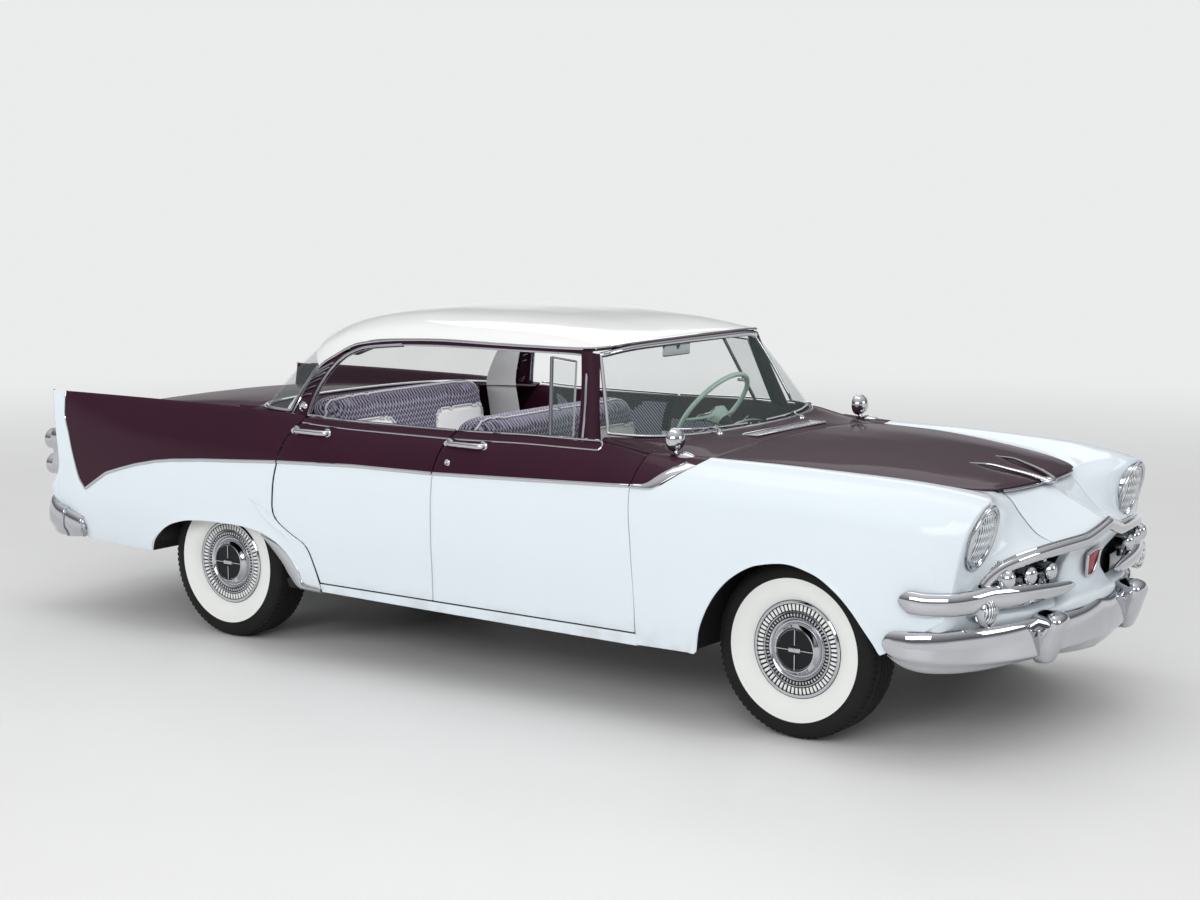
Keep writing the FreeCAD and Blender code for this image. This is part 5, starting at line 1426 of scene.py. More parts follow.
for side_name, side in SIDES:
    rear_parts.append(horn("rear_guard", REAR_GUARD, 430, side, -1))
    for share, size in ((0.13, 9), (0.30, 5)):
        ring = [hand(rear_bar(share, v) + (0, 4, 0), side) for v in np.linspace(0.06, 0.96, 14)]
        rear_parts.append(tube("end_ring", ring, size, steps=50))
bright("rear_bumper_chrome", rear_parts, replaces=["rear_bumper"])
print("rear bumper width", round(rear_bumper.dimensions.y, 3))

# %% [markdown]
# ## Taillights
# Two round lamps stand one above the other in a chrome housing at the tail of each fin. A lamp is a
# bezel spun round its own axis, a red lens with pressed rings, and a bright inner ring.

# %% Taillights
HOUSING = (
    # height, half width, rearmost x
    (652, 12, -2474), (668, 34, -2508), (716, 46, -2526), (776, 40, -2516), (836, 47, -2532), (880, 38, -2522),
    (900, 12, -2480))
BEZEL = [(-50, 1), (-50, 36), (-20, 46), (6, 51), (18, 51), (23, 47), (20, 42), (8, 41), (8, 1)]
INNER_RING = [(8, 15), (8, 19), (38, 19), (40, 17), (38, 15)]
LENS = [(8, 1), (8, 41), (18, 40), (30, 32), (38, 20), (40, 8), (40, 1)]
for side_name, side in SIDES:
    ribs = []
    for z, half, back in HOUSING:
        hoop = ((-2430, half), (back + 30, half), (back + 6, 0.7 * half), (back, 0), (back + 6, -0.7 * half),
                (back + 30, -half), (-2430, -half))
        ribs.append([(x, 838 + dy, z) for x, dy in hoop])
    parts = [panel("housing", handed(side, ribbed(ribs)), 40, 24, (-1, 0, 0))]
    for x, z in ((-2528, 836), (-2524, 712)):
        lamp_at = (x, side * 838, z)
        parts.append(turned("bezel", BEZEL, lamp_at, axis="x", steps=48, side=-1))
        parts.append(turned("inner_ring", INNER_RING, lamp_at, axis="x", steps=32, side=-1))
        lens_piece = turned("lens", LENS, lamp_at, axis="x", steps=48, side=-1)
        dressed(lens_piece, "body", red_lens, "red_lens")
        lens_piece.name = f"taillight_lens_{side_name}_{z}"
    bright(f"taillight_chrome_{side_name}", parts, replaces=["taillights"] if side < 0 else ())

# %% [markdown]
# ## Tail panel and plate
# Below the trunk lid a pale panel carries a blank number plate on its four bolts. Bright strips and
# a plain handle finish the lid, and a chrome edge caps each fin.

# %% Tail panel
TAIL_RIBS = (
    ((-2522, 0, 664), (-2518, 0, 600), (-2502, 0, 520), (-2470, 0, 430)),
    ((-2520, 300, 664), (-2516, 300, 600), (-2500, 300, 520), (-2468, 300, 430)),
    ((-2512, 640, 664), (-2508, 640, 600), (-2492, 640, 520), (-2456, 640, 430)),
    ((-2500, 790, 656), (-2494, 790, 596), (-2476, 790, 516), (-2430, 790, 424)),
    [on_side(x, z, 1.4) for x, z in ((-2466, 662), (-2494, 592), (-2452, 505), (-2396, 410))],
    [on_side(x, z, 1.4) for x, z in ((-2440, 662), (-2460, 590), (-2426, 505), (-2370, 410))],
)
tail_panel = panel("tail_panel", spanning(ribbed(TAIL_RIBS)), 70, 14, (-1, 0, 0))
dressed(tail_panel, "body", pale_paint, "paint_pale", ["rear_panel"])
plate = block("number_plate", (-2534, -152, 476), (-2529, 152, 634), bevel=2)
plate_blank = dull("plate_blank", (0.55, 0.57, 0.58), 0.4, 200, 0.1, 0.3, 0.85)
dressed(plate, "body", plate_blank)
bolts = []
for y in (-89, 89):
    for z in (495, 616):
        bolts.append(turned("bolt", [(-4, 1), (-4, 7), (3, 7), (5, 4), (5, 1)], (-2535, y, z), axis="x", steps=12,
                            side=-1))
frame_run = [(-2533, y, z) for y, z in ((-155, 474), (155, 474), (158, 477), (158, 633), (155, 636), (-155, 636),
                                        (-158, 633), (-158, 477))]
bolts.append(tube("plate_frame", frame_run, 4, closed=True, steps=120, sides=8))
bright("plate_fittings", bolts)

# %% Trunk and fin trim
trunk_parts = []
for share, size in ((0.86, 5), (0.985, 6)):
    strip_line = both_ways([trunk_place(share, v) for v in np.linspace(0.02, 0.97, 12)], (-3, 0, 0))
    trunk_parts.append(tube("strip", strip_line, size, steps=120, sides=8))
grip = [(-2536, -95, 792), (-2552, -88, 794), (-2566, -50, 797), (-2570, 0, 798), (-2566, 50, 797), (-2552, 88, 794),
        (-2536, 95, 792)]
trunk_parts.append(tube("grip", grip, 9, flat=1.4, steps=60, sides=12))
trunk_parts.append(turned("lock", [(-6, 1), (-6, 17), (4, 17), (8, 12), (6, 5), (4, 1)], (-2540, 0, 764), axis="x",
                          steps=28, side=-1))
bright("trunk_trim", trunk_parts, "trunk_lid")
for side_name, side in SIDES:
    cap_line = hand([on_side(x, z, -8) for x, z in TAIL_EDGE[5:]], side) + (-4, 0, 2)
    cap = tube("fin_cap", cap_line, 5, steps=60, sides=8)
    dressed(cap, "body", chrome, "chrome")
    cap.name = f"fin_cap_{side_name}"

# %% [markdown]
# ## Tyres and wheels
# One wheel is modelled at the origin, facing outwards, and copied to the four corners. The tyre is a
# lathe shape with grooves and shoulder lugs. The cover is spun metal: an outer ring of sixty white
# pads between ribs, a ring of beads, a stepped cone, and a dark centre with four thin spokes.

# %% Tyre
def around(piece, count):
    """Copy a piece evenly round the wheel's axis."""
    deselect()
    bpy.ops.object.empty_add(location=(0, 0, 0), rotation=(0, TURN / count, 0))
    turn = bpy.context.object
    modify(piece, "ARRAY", count=count, use_relative_offset=False, use_object_offset=True, offset_object=turn)
    bpy.data.objects.remove(turn)
    return piece


grooves = []
for middle in (-33, -11, 11, 33):
    grooves += [(middle - 3, 349.4), (middle - 2, 342), (middle + 2, 342), (middle + 3, 349.4)]
half_side = [(62, 349), (64, 344), (80, 341), (90, 330), (97, 312), (100, 288), (100, 284), (98.6, 281), (99, 262),
             (95, 238), (87, 215), (76, 200), (70, 193), (62, 187)]
SECTION = sorted([(-out, radius) for out, radius in half_side], key=lambda p: p[1]) + grooves + half_side
tyre = turned("tyre", SECTION, (0, 0, 0), steps=96)
for face in tyre.data.polygons:
    radius = math.hypot(face.center.x, face.center.z) / mm
    face.material_index = 1 if face.center.y > 0.055 and 192 < radius < 282 else 0
lugs = []
for edge in (-1, 1):
    lug = block("lug", (-7, 63 if edge > 0 else -84, 336), (7, 84 if edge > 0 else -63, 348.5), bevel=1.5, segments=1)
    for point in lug.data.vertices:
        if abs(point.co.y) > 0.075:
            point.co.z -= 0.006
    lugs.append(around(lug, 84))
lug_ring = joined("lugs", lugs)
for piece in (tyre, lug_ring):
    piece.data.materials.append(rubber)
tyre.data.materials.append(whitewall)
tyre_model = joined("tyre_model", [tyre, lug_ring])
print("tyre faces", len(tyre_model.data.polygons))

# %% Wheel and cover
cover_profile = [(58, 188), (64, 191), (71, 190), (75, 185), (74, 179), (68, 177), (64, 163), (66, 150), (72, 147),
                 (73, 143), (68, 141), (65, 133), (66, 126), (72, 123), (70, 118), (60, 111), (60, 106), (72, 103),
                 (78, 98), (85, 92), (91, 88), (92, 84), (88, 81), (82, 79), (82, 1), (76, 1), (76, 76), (58, 100),
                 (52, 150), (54, 184)]
cover = turned("cover", cover_profile, (0, 0, 0), steps=96)
rim = turned("rim", [(60, 178), (64, 184), (54, 190), (40, 176), (-56, 178), (-68, 190), (-72, 186), (-60, 170),
                     (20, 166), (28, 120), (30, 60), (24, 60), (20, 118), (8, 158), (6, 172), (52, 172)], (0, 0, 0))
slot_pad = block("slot", (-5.2, 62, 151.5), (5.2, 71.5, 175.5), bevel=1.2, segments=1)
for point in slot_pad.data.vertices:
    point.co.x *= 0.9 + 0.2 * (point.co.z - 0.1515) / 0.024
slots = around(slot_pad, 60)
bead = block("bead", (-3.6, 62, 127.5), (3.6, 71, 139.5), bevel=1.6, segments=1)
beads = around(bead, 60)
spokes = []
for number in range(4):
    spoke = block("spoke", (-2.2, 80, 18), (2.2, 90, 80), bevel=1.2, segments=2)
    turn = number * math.pi / 2
    for point in spoke.data.vertices:
        x, z = point.co.x, point.co.z
        point.co.x, point.co.z = x * math.cos(turn) + z * math.sin(turn), z * math.cos(turn) - x * math.sin(turn)
    spokes.append(spoke)
plate = block("plate", (-26, 80, -9), (26, 93, 9), segments=2)
hub_face = turned("hub_face", [(82.4, 1), (82.4, 78), (83.4, 78), (83.4, 1)], (0, 0, 0), steps=48)
slot_white = dull("slot_white", (0.80, 0.81, 0.80), 0.35, 300, 0.05, 0.2, 0.92)
grounds = [turned("ground", [(62, low), (62, high), (68.5, high), (67.5, low)], (0, 0, 0), steps=96)
           for low, high in ((150, 177), (126, 141))]
slot_ground = joined("slot_ground", grounds)
WHEEL_FINISHES = [(cover, chrome), (rim, plain_steel), (slots, slot_white), (beads, brushed), (plate, brushed),
                  (hub_face, black_trim), (slot_ground, black_trim)] + [(spoke, chrome) for spoke in spokes]
for piece, material in WHEEL_FINISHES:
    piece.data.materials.append(material)
cover_model = joined("cover_model", [piece for piece, material in WHEEL_FINISHES])
print("wheel faces", len(cover_model.data.polygons))

# %% Four corners
WHEELS = (("front", FRONT_AXLE, 748), ("rear", REAR_AXLE, 755))
for end, x, y in WHEELS:
    for side_name, side in SIDES:
        for model, kind, slot_name in ((tyre_model, "tyre", "tyre"), (cover_model, "wheel", "wheel_cover")):
            copy = bpy.data.objects.new(f"{kind}_{end}_{side_name}_detail", model.data.copy())
            bpy.context.collection.objects.link(copy)
            for point in copy.data.vertices:
                point.co = (point.co.x + x * mm, side * (point.co.y + y * mm), point.co.z + HUB_HEIGHT * mm)
            if side < 0:
                edit(copy, (bpy.ops.mesh.flip_normals, {}))
            dressed(soften(copy), f"wheel_{end}_{side_name}", None, slot_name, [f"{kind}_{end}_{side_name}"])
for model in (tyre_model, cover_model):
    bpy.data.objects.remove(model)

# %% [markdown]
# ## Seat fabric
# The benches wear a brocade of small silver-lilac waves on plum, and each back carries two white
# vinyl inserts with rounded corners. The insert is worked out in the shader as the distance to a
# rounded rectangle, so that it keeps to the cushion however the cover swells.

# %% Brocade
def brocade(name, insert=None):
    cloth = Finish(name, Sheen_Weight=0.4, Sheen_Roughness=0.4, Sheen_Tint=(0.8, 0.75, 0.9, 1))
    across_cloth, along_cloth = cloth.y * 300, (cloth.z + cloth.x) * 340
    wave = (along_cloth + across_cloth.sum("SINE") * 1.9).sum("SINE") * 0.5 + 0.5
    spot = (across_cloth * 0.5).sum("SINE") * (along_cloth * 0.5).sum("SINE") * 0.5 + 0.5
    figure = wave.step(0.32, 0.58) * (spot * 0.4 + 0.6)
    colour = cloth.mix(figure, (0.030, 0.016, 0.036), (0.40, 0.40, 0.52))
    colour = cloth.mix(cloth.noise(5, 3) * 0.25, colour, (0.16, 0.13, 0.18))
    rough, height = figure * -0.25 + 0.85, figure + cloth.noise(900, 2) * 0.6
    if insert:
        middle_y, middle_z, half_y, half_z, corner = (v * mm for v in insert)
        out_y = ((cloth.y.sum("ABSOLUTE") - middle_y).sum("ABSOLUTE") - (half_y - corner)).sum("MAXIMUM", 0.0)
        out_z = ((cloth.z - middle_z).sum("ABSOLUTE") - (half_z - corner)).sum("MAXIMUM", 0.0)
        far = (out_y * out_y + out_z * out_z).sum("SQRT")
        white = far < corner
        colour = cloth.mix(white, colour, (0.90, 0.91, 0.91))
        rough = rough + white * (0.4 - rough)
        height = height * (1 - white * 0.9)
    cloth.set("Base Color", colour)
    cloth.set("Roughness", rough)
    return cloth.bump(height, 0.5, 0.0012).material


FRONT_INSERT = (345, 828, 235, 132, 55)
REAR_INSERT = (350, 868, 200, 128, 55)
seat_cloth = brocade("seat_brocade")
front_back_cloth = brocade("front_back_brocade", FRONT_INSERT)
rear_back_cloth = brocade("rear_back_brocade", REAR_INSERT)
piping_vinyl = dull("piping_vinyl", (0.72, 0.73, 0.76), 0.4, 300, 0.1, 0.2, 0.9)

# %% [markdown]
# ## Stuffed benches
# A bench cushion is a cover blown up from inside. A rounded box is remeshed into even squares and
# bent to the seat's shape, air pressure in a short cloth simulation fills it, and no point may move
# further than a cap. The sewn lines are pressed in afterwards, and piping is laid along them.

# %% Cushions
def cushion(name, low, high, shape, cap=22, voxel=14, bevel=48):
    piece = block(name, low, high, bevel=bevel, segments=5)
    modify(piece, "REMESH", mode="VOXEL", voxel_size=voxel * mm)
    for point in piece.data.vertices:
        point.co = Vector(shape(*(point.co / mm))) * mm
    start = np.array([point.co[:] for point in piece.data.vertices])
    pick(piece)
    cloth = piece.modifiers.new("Cloth", "CLOTH")
    cloth.settings.use_pressure = True
    cloth.settings.uniform_pressure_force = 4
    cloth.settings.effector_weights.gravity = 0
    scene = bpy.context.scene
    for frame_number in range(1, 21):
        scene.frame_set(frame_number)
    bpy.ops.object.modifier_apply(modifier="Cloth")
    scene.frame_set(1)
    moved = np.array([point.co[:] for point in piece.data.vertices]) - start
    length = np.linalg.norm(moved, axis=1)[:, None]
    moved *= np.minimum(1, cap * mm / np.maximum(length, 1e-9))
    for point, place in zip(piece.data.vertices, start + moved):
        point.co = place
    print(name, "swelled by up to", round(float(length.max()) / mm, 1), "mm")
    modify(piece, "SUBSURF", levels=1, render_levels=1)
    return piece


def snapped(piece, point, lift=0.0):
    """The nearest point of a cushion's cover, in millimetres."""
    _, place, normal, _ = piece.closest_point_on_mesh(Vector(point) * mm)
    return np.array(place + normal * lift * mm) / mm


def sewn(piece, loops, depth=7, width=9):
    """Press sewn lines into a cushion; each loop is a run of points near its cover."""
    points = [Vector(snapped(piece, loop(share))) * mm for loop in loops for share in np.linspace(0, 1, 260)]
    tree = KDTree(len(points))
    for number, point in enumerate(points):
        tree.insert(point, number)
    tree.balance()
    normals = [point.normal.copy() for point in piece.data.vertices]
    for point, normal in zip(piece.data.vertices, normals):
        _, _, away = tree.find(point.co)
        if away < 3 * width * mm:
            point.co -= normal * depth * mm * math.exp(-(away / (width * mm)) ** 2)
    return soften(piece, 60)


def piped(name, piece, loops, size=4.6, lift=4.0):
    rods = [tube("rod", None, size, closed=True, steps=150, sides=8,
                 run=lambda share: snapped(piece, loop(share), lift)) for loop in loops]
    return joined(name, rods)


def rounded_loop(middle_y, middle_z, half_y, half_z, corner, x):
    """A closed run round a rounded rectangle; x is a function of height."""
    points = []
    for side_y, side_z, start in ((1, 1, 0), (-1, 1, 90), (-1, -1, 180), (1, -1, 270)):
        for turn in (0, 30, 60, 90):
            angle = math.radians(start + turn)
            y = middle_y + side_y * (half_y - corner) + corner * math.cos(angle)
            z = middle_z + side_z * (half_z - corner) + corner * math.sin(angle)
            points.append((x(z), y, z))
    points = np.array(points + points[:1])
    ends = np.concatenate([[0], np.cumsum(np.linalg.norm(np.diff(points, axis=0), axis=1))])
    return lambda share: np.array([np.interp(share * ends[-1], ends, points[:, i]) for i in range(3)])


def flat_loop(middle_x, half_y, half_x):
    """A closed run round the top of a seat cushion."""
    loop = rounded_loop(0, middle_x, half_y, half_x, 70, lambda z: 0)
    return lambda share: loop(share)[[2, 1, 0]] + (0, 0, 690)


def leaning(foot, slope, drop, half):
    """Lean a back by its height, and let its top fall away towards the ends."""
    def shape(x, y, z):
        end = max(0.0, (abs(y) - half * 0.72) / (half * 0.28))
        high = max(0.0, (z - 760) / 320)
        return x - slope * (z - foot), y, z - drop * end ** 2 * high + 6 * math.cos(y / half * 1.5) * high
    return shape


def crowned(low, rise, half):
    def shape(x, y, z):
        top = max(0.0, (z - low) / 130)
        return x, y, z + top * rise * (1 - (y / half) ** 2)
    return shape

# %% Front bench
front_lean = leaning(665, 0.19, 42, 618)
front_back = cushion("front_seat_back", (-108, -618, 640), (22, 618, 1096), front_lean)
front_x = lambda z: 60 - 0.19 * (z - 665)
border = lambda share: np.array(front_lean(*rounded_loop(0, 866, 604, 216, 60, lambda z: 8)(share)))
inserts = [rounded_loop(side * FRONT_INSERT[0], *FRONT_INSERT[1:], front_x) for side in (-1, 1)]
sewn(front_back, [border] + inserts)
dressed(front_back, "body", front_back_cloth, "upholstery", ["front_seat"])
dressed(piped("front_back_piping", front_back, [border] + inserts), "body", piping_vinyl)
front_cushion = cushion("front_seat_cushion", (-60, -612, 556), (500, 612, 676), crowned(560, 14, 612))
rim = flat_loop(230, 585, 245)
channels = [lambda share, y=y: np.array((-10 + 460 * share, y, 700)) for y in (-300, 0, 300)]
sewn(front_cushion, [rim] + channels)
dressed(front_cushion, "body", seat_cloth, "upholstery")
dressed(piped("front_cushion_piping", front_cushion, [rim]), "body", piping_vinyl)
print("front bench width", round(front_back.dimensions.y, 3))

# %% Rear bench
rear_lean = leaning(690, 0.22, 30, 584)
rear_back = cushion("rear_seat_back", (-985, -584, 650), (-872, 584, 1128), rear_lean)
rear_x = lambda z: -835 - 0.22 * (z - 690)
rear_border = lambda share: np.array(rear_lean(*rounded_loop(0, 889, 570, 225, 60, lambda z: -886)(share)))
rear_inserts = [rounded_loop(side * REAR_INSERT[0], *REAR_INSERT[1:], rear_x) for side in (-1, 1)]
sewn(rear_back, [rear_border] + rear_inserts)
dressed(rear_back, "body", rear_back_cloth, "upholstery", ["rear_seat"])
dressed(piped("rear_back_piping", rear_back, [rear_border] + rear_inserts), "body", piping_vinyl)
rear_cushion = cushion("rear_seat_cushion", (-900, -568, 562), (-418, 568, 672), crowned(560, 14, 568))
rear_rim = flat_loop(-650, 545, 215)
rear_channels = [lambda share, y=y: np.array((-860 + 400 * share, y, 700)) for y in (-280, 0, 280)]
sewn(rear_cushion, [rear_rim] + rear_channels)
dressed(rear_cushion, "body", seat_cloth, "upholstery")
dressed(piped("rear_cushion_piping", rear_cushion, [rear_rim]), "body", piping_vinyl)

# %% Seat bases
front_base = block("front_seat_base", (-50, -596, 470), (488, 596, 560), bevel=14)
rear_base = block("rear_seat_base", (-880, -560, 470), (-430, 560, 566), bevel=14)
for base in (front_base, rear_base):
    dressed(base, "body", carpet)
shields = []
for side in (-1, 1):
    shields.append(panel("shield", lambda u, v: (-56 + 545 * u, side * 622, 480 + v * (178 - 60 * u)),
                         16, 6, (0, side, 0), wall=5))
runners = [block("runner", (-20, side * 420 - 30, 434), (460, side * 420 + 30, 472), bevel=4) for side in (-1, 1)]
dressed(joined("front_seat_shields", shields), "body", white_vinyl)
dressed(joined("front_seat_runners", runners), "body", plain_steel)

# %% [markdown]
# ## Dashboard
# The dashboard's rolled top is plum, above a pale face with a bright line between them. The driver
# faces an oval of dials under a low hood, and a row of plain knobs runs below it.

# %% Dashboard
def lofted(points, stops=(0, 260, 520, 690)):
    """A section drawn across the car, drawn in by a few millimetres towards its ends."""
    return ribbed([[(x + pull, y, z) for x, z in points] for y, pull in zip(stops, (0, 0, 6, 18))])


TOP_SECTION = ((985, 1066), (905, 1058), (830, 1046), (782, 1028), (760, 1000), (758, 972))
FACE_SECTION = ((758, 972), (764, 950), (770, 915), (786, 886), (812, 876), (850, 880))
dash_top = panel("dash_top", spanning(lofted(TOP_SECTION)), 50, 16, (-1, 0, 1))
dressed(dash_top, "body", plum_paint, "paint_plum", ["dashboard"])
dash_face = panel("dash_face", spanning(lofted(FACE_SECTION)), 50, 16, (-1, 0, -0.5))
dressed(dash_face, "body", green_plastic, "pale_plastic")
dash_parts = []
for x, z, size in ((758, 971, 5), (769, 912, 3)):
    line = [(x + (18 if abs(y) > 600 else 0), y, z) for y in (-688, -520, -260, 0, 260, 520, 688)]
    dash_parts.append(tube("line", line, size, steps=80, sides=8))
hood_line = [(744, 350 + 178 * math.cos(a), 985 + 58 * math.sin(a)) for a in np.linspace(0, TURN, 25)[:-1]]
dash_parts.append(tube("dial_hood", hood_line, 10, closed=True, sides=12))
DIALS = ((350, 985, 46), (238, 985, 30), (462, 985, 30), (-110, 950, 26))
for y, z, size in DIALS:
    dash_parts.append(turned("dial_rim", [(-2, size), (-2, size + 4), (8, size + 4), (8, size)], (740, y, z),
                             axis="x", steps=40, side=-1))
KNOB = [(-14, 1), (-14, 5), (0, 5), (0, 13), (14, 12), (18, 8), (18, 1)]
for y in (120, 195, 270, 345, 420, 495, -420):
    dash_parts.append(turned("knob", KNOB, (758, y, 908), axis="x", steps=20, side=-1))
glovebox = [(760, y, z) for y, z in ((-240, 905), (-520, 905), (-530, 912), (-530, 952), (-520, 960), (-240, 960),
                                     (-230, 952), (-230, 912))]
dash_parts.append(tube("glovebox", glovebox, 2, closed=True, steps=90, sides=6))
for number in range(9):
    dash_parts.append(block("radio_bar", (752, -78, 918 + number * 5), (760, 68, 920.5 + number * 5), bevel=0.8,
                            segments=1))
bright("dash_chrome", dash_parts)
dial = Finish("dial_face", Roughness=0.3, Coat_Weight=0.8)
turn_angle = ((dial.y - 0.35) * 90).sum("SINE") * 0.5 + 0.5
dial.set("Base Color", dial.mix(turn_angle.step(0.93, 0.97) * (dial.z > 1.0), (0.012, 0.014, 0.014),
                                (0.75, 0.80, 0.76)))
dial.bump(dial.noise(60, 2), 0.05, 0.0005)
dial_plate = four_corners((750, 180, 935), (750, 520, 935), (750, 190, 1036), (750, 510, 1036))
dial_pieces = [panel("dial_plate", dial_plate, 12, 6, (-1, 0, 0))]
for y, z, size in DIALS:
    dial_pieces.append(turned("dial", [(-2, 1), (-2, size), (4, size), (5, 1)], (741, y, z), axis="x", steps=40,
                              side=-1))
    dial_pieces.append(block("needle", (734, y - 1.2, z - 4), (736, y + 1.2, z + size * 0.7), bevel=0.4, segments=1))
dressed(joined("dials", dial_pieces), "body", dial.material)

# %% [markdown]
# ## Steering wheel
# A thin pale rim, two spokes that dip to the hub, and half a horn ring in chrome. The pieces are
# made flat at the origin and then laid on the wheel's own plane, which leans with the column.

# %% Wheel on its column
lean = math.radians(38)
WHEEL_AT = np.array((560, 350, 1085))
across_way, up_way = np.array((0, 1, 0)), np.array((math.sin(lean), 0, math.cos(lean)))
out_way = np.cross(up_way, across_way)


def on_wheel(a, b, out=0.0):
    return WHEEL_AT + across_way * a + up_way * b + out_way * out


def laid(piece):
    """Move a piece made flat at the origin onto the wheel."""
    for point in piece.data.vertices:
        a, b, out = point.co / mm
        point.co = Vector(on_wheel(a, b, out)) * mm
    return outward(piece)


rim_radius, horn_radius = 208, 122
wheel_parts = [tube("ring", None, 11, closed=True, steps=120, sides=14, run=lambda share: on_wheel(
    rim_radius * math.cos(share * TURN), rim_radius * math.sin(share * TURN)))]
for side in (-1, 1):
    spoke_line = [on_wheel(side * a, b, out)
                  for a, b, out in ((30, -6, -32), (80, -14, -30), (150, -30, -14), (203, -40, 0))]
    wheel_parts.append(tube("spoke", spoke_line, lambda share: 15 - 5 * share, flat=0.55, steps=30, sides=12))
wheel_parts.append(laid(turned("hub", [(-74, 1), (-74, 30), (-50, 44), (-30, 46), (-22, 40), (-20, 1)], (0, 0, 0),
                               axis="z", steps=40)))
dressed(joined("steering_wheel_rim", wheel_parts), "steering_wheel", green_plastic, "pale_plastic",
        ["steering_wheel"])
horn_ring = tube("horn_ring", None, 4.5, steps=60, run=lambda share: on_wheel(
    horn_radius * math.cos(math.pi * (1 + share)), horn_radius * math.sin(math.pi * (1 + share)) - 12, -12))
ARM = ((horn_radius, -12, -12), (70, -8, -16), (26, -2, -18))
horn_arms = [tube("arm", [on_wheel(side * a, b, out) for a, b, out in ARM], 4, steps=16, sides=8) for side in (-1, 1)]
cap = laid(turned("cap", [(-22, 1), (-22, 30), (-14, 30), (-8, 24), (-6, 12), (-6, 1)], (0, 0, 0), axis="z",
                  steps=40))
bright("horn_ring_chrome", [horn_ring, cap] + horn_arms, "steering_wheel")
stalk = tube("shift_lever", [(690, 350, 990), (672, 290, 1010), (660, 200, 1046), (656, 168, 1056)], 5, steps=30)
tip = turned("tip", [(-12, 1), (-12, 9), (0, 12), (12, 9), (14, 1)], (656, 160, 1058), steps=20)
signal = tube("signal_lever", [(690, 350, 1000), (676, 410, 1024), (666, 480, 1046)], 4, steps=24)
bright("column_levers", [stalk, tip, signal])

# %% [markdown]
# ## Door trim
# Each door is lined with white vinyl below a brocade band, with a bright strip between, an armrest,
# a pull handle and a window crank.

# %% Door cards
def card(name, low, high, left, right, side, owner, cloth, thick=6):
    place = patch(Path([(left(low), low), (right(low), low)]), Path([(left(high), high), (right(high), high)]),
                  Path([(left(z), z) for z in np.linspace(low, high, 8)]),
                  Path([(right(z), z) for z in np.linspace(low, high, 8)]))
    piece = panel(name, lambda u, v: np.array((place(u, v)[0], side * (inner_wall - thick), place(u, v)[1])), 24, 12,
                  (0, -side, 0), wall=thick, edge=1.5)
    return dressed(piece, owner, cloth)


def edge_at(points, shift):
    zs, xs = [p[1] for p in points], [p[0] for p in points]
    return lambda z: float(np.interp(z, zs, xs)) + shift


DOOR_CARDS = (("front_door", edge_at(MIDDLE_CUT, 26), edge_at(FRONT_CUT, -26), 640),
              ("rear_door", lambda z: -590 - 0.3 * max(0, z - 700), edge_at(MIDDLE_CUT, -26), -210))
door_cloth = brocade("door_brocade")
for side_name, side in SIDES:
    for door, left, right, crank_x in DOOR_CARDS:
        owner = f"{door}_{side_name}"
        card(f"{owner}_card_low", 372, 818, left, right, side, owner, white_vinyl)
        card(f"{owner}_card_high", 826, 1030, left, right, side, owner, door_cloth)
        middle_x = (right(820) + left(820)) / 2
        rest = block("armrest", (middle_x - 150, side * 790 - 30, 742), (middle_x + 150, side * 790 + 30, 792),
                     bevel=18, segments=4)
        dressed(rest, owner, door_cloth)
        rest.name = f"{owner}_armrest"
        fittings = [tube("strip", [(left(822) + 4, side * 820, 822), (middle_x, side * 820, 822),
                                   (right(822) - 4, side * 820, 822)], 4, steps=30, sides=8)]
        crank = (crank_x, side * 820, 880)
        fittings.append(turned("crank_hub", [(-2, 1), (-2, 17), (12, 15), (16, 8), (16, 1)], crank, steps=24,
                               side=-side))
        fittings.append(tube("crank_arm", [(crank_x, side * 804, 880), (crank_x - 40, side * 800, 860),
                                           (crank_x - 78, side * 798, 842)], 5, steps=16, sides=8))
        fittings.append(turned("crank_knob", [(0, 1), (0, 8), (12, 12), (24, 9), (26, 1)],
                               (crank_x - 78, side * 800, 842), steps=20, side=-side))
        fittings.append(tube("pull", [(middle_x + 60, side * 822, 940), (middle_x + 50, side * 802, 944),
                                      (middle_x - 20, side * 798, 944), (middle_x - 60, side * 802, 938)], 5,
                                      flat=1.5, steps=24, sides=8))
        bright(f"{owner}_fittings", fittings, owner)

# %% [markdown]
# ## Vent windows
# The small pane ahead of each front window stands in a bright frame, with a dark upright divider
# that carries it on the door.

# %% Vent panes
for side_name, side in SIDES:
    foot, head, toe, brow = (508, 796, 1080), (412, 656, 1388), (612, 778, 1080), (546, 664, 1378)
    pane = four_corners(foot, toe, head, brow)
    glass = grid(f"vent_glass_{side_name}", lambda u, v: hand(pane(0.03 + 0.94 * u, 0.03 + 0.94 * v), side), 8, 12)
    modify(face_way(glass, (0, side, 0)), "SOLIDIFY", thickness=0.004, offset=0)
    dressed(soften(glass), f"front_door_{side_name}", window_glass, "glass", [f"vent_window_{side_name}"])
    foot, head, brow, toe = hand((foot, head, brow, toe), side)
    divider = tube("divider", [foot, (foot + head) / 2, head], 8, steps=24)
    dressed(divider, f"front_door_{side_name}", dark_chrome)
    divider.name = f"vent_divider_{side_name}"
    rims = [tube("rim", [a, (a + b) / 2, b], 4.5, steps=20, sides=8)
            for a, b in ((head, brow), (brow, toe), (toe, foot))]
    latch = block("latch", (0, 0, 0), (34, 10, 14))
    for point in latch.data.vertices:
        point.co += Vector((foot + head) / 2 - (0, side * 14, 60)) * mm
    bright(f"vent_frame_{side_name}", rims + [latch], f"front_door_{side_name}")

# %% [markdown]
# ## Cabin floor, mirror and wipers
# Carpet follows the floor over the tunnel. A small mirror hangs from the header, and two wipers
# rest on the foot of the windshield beside the air grille.

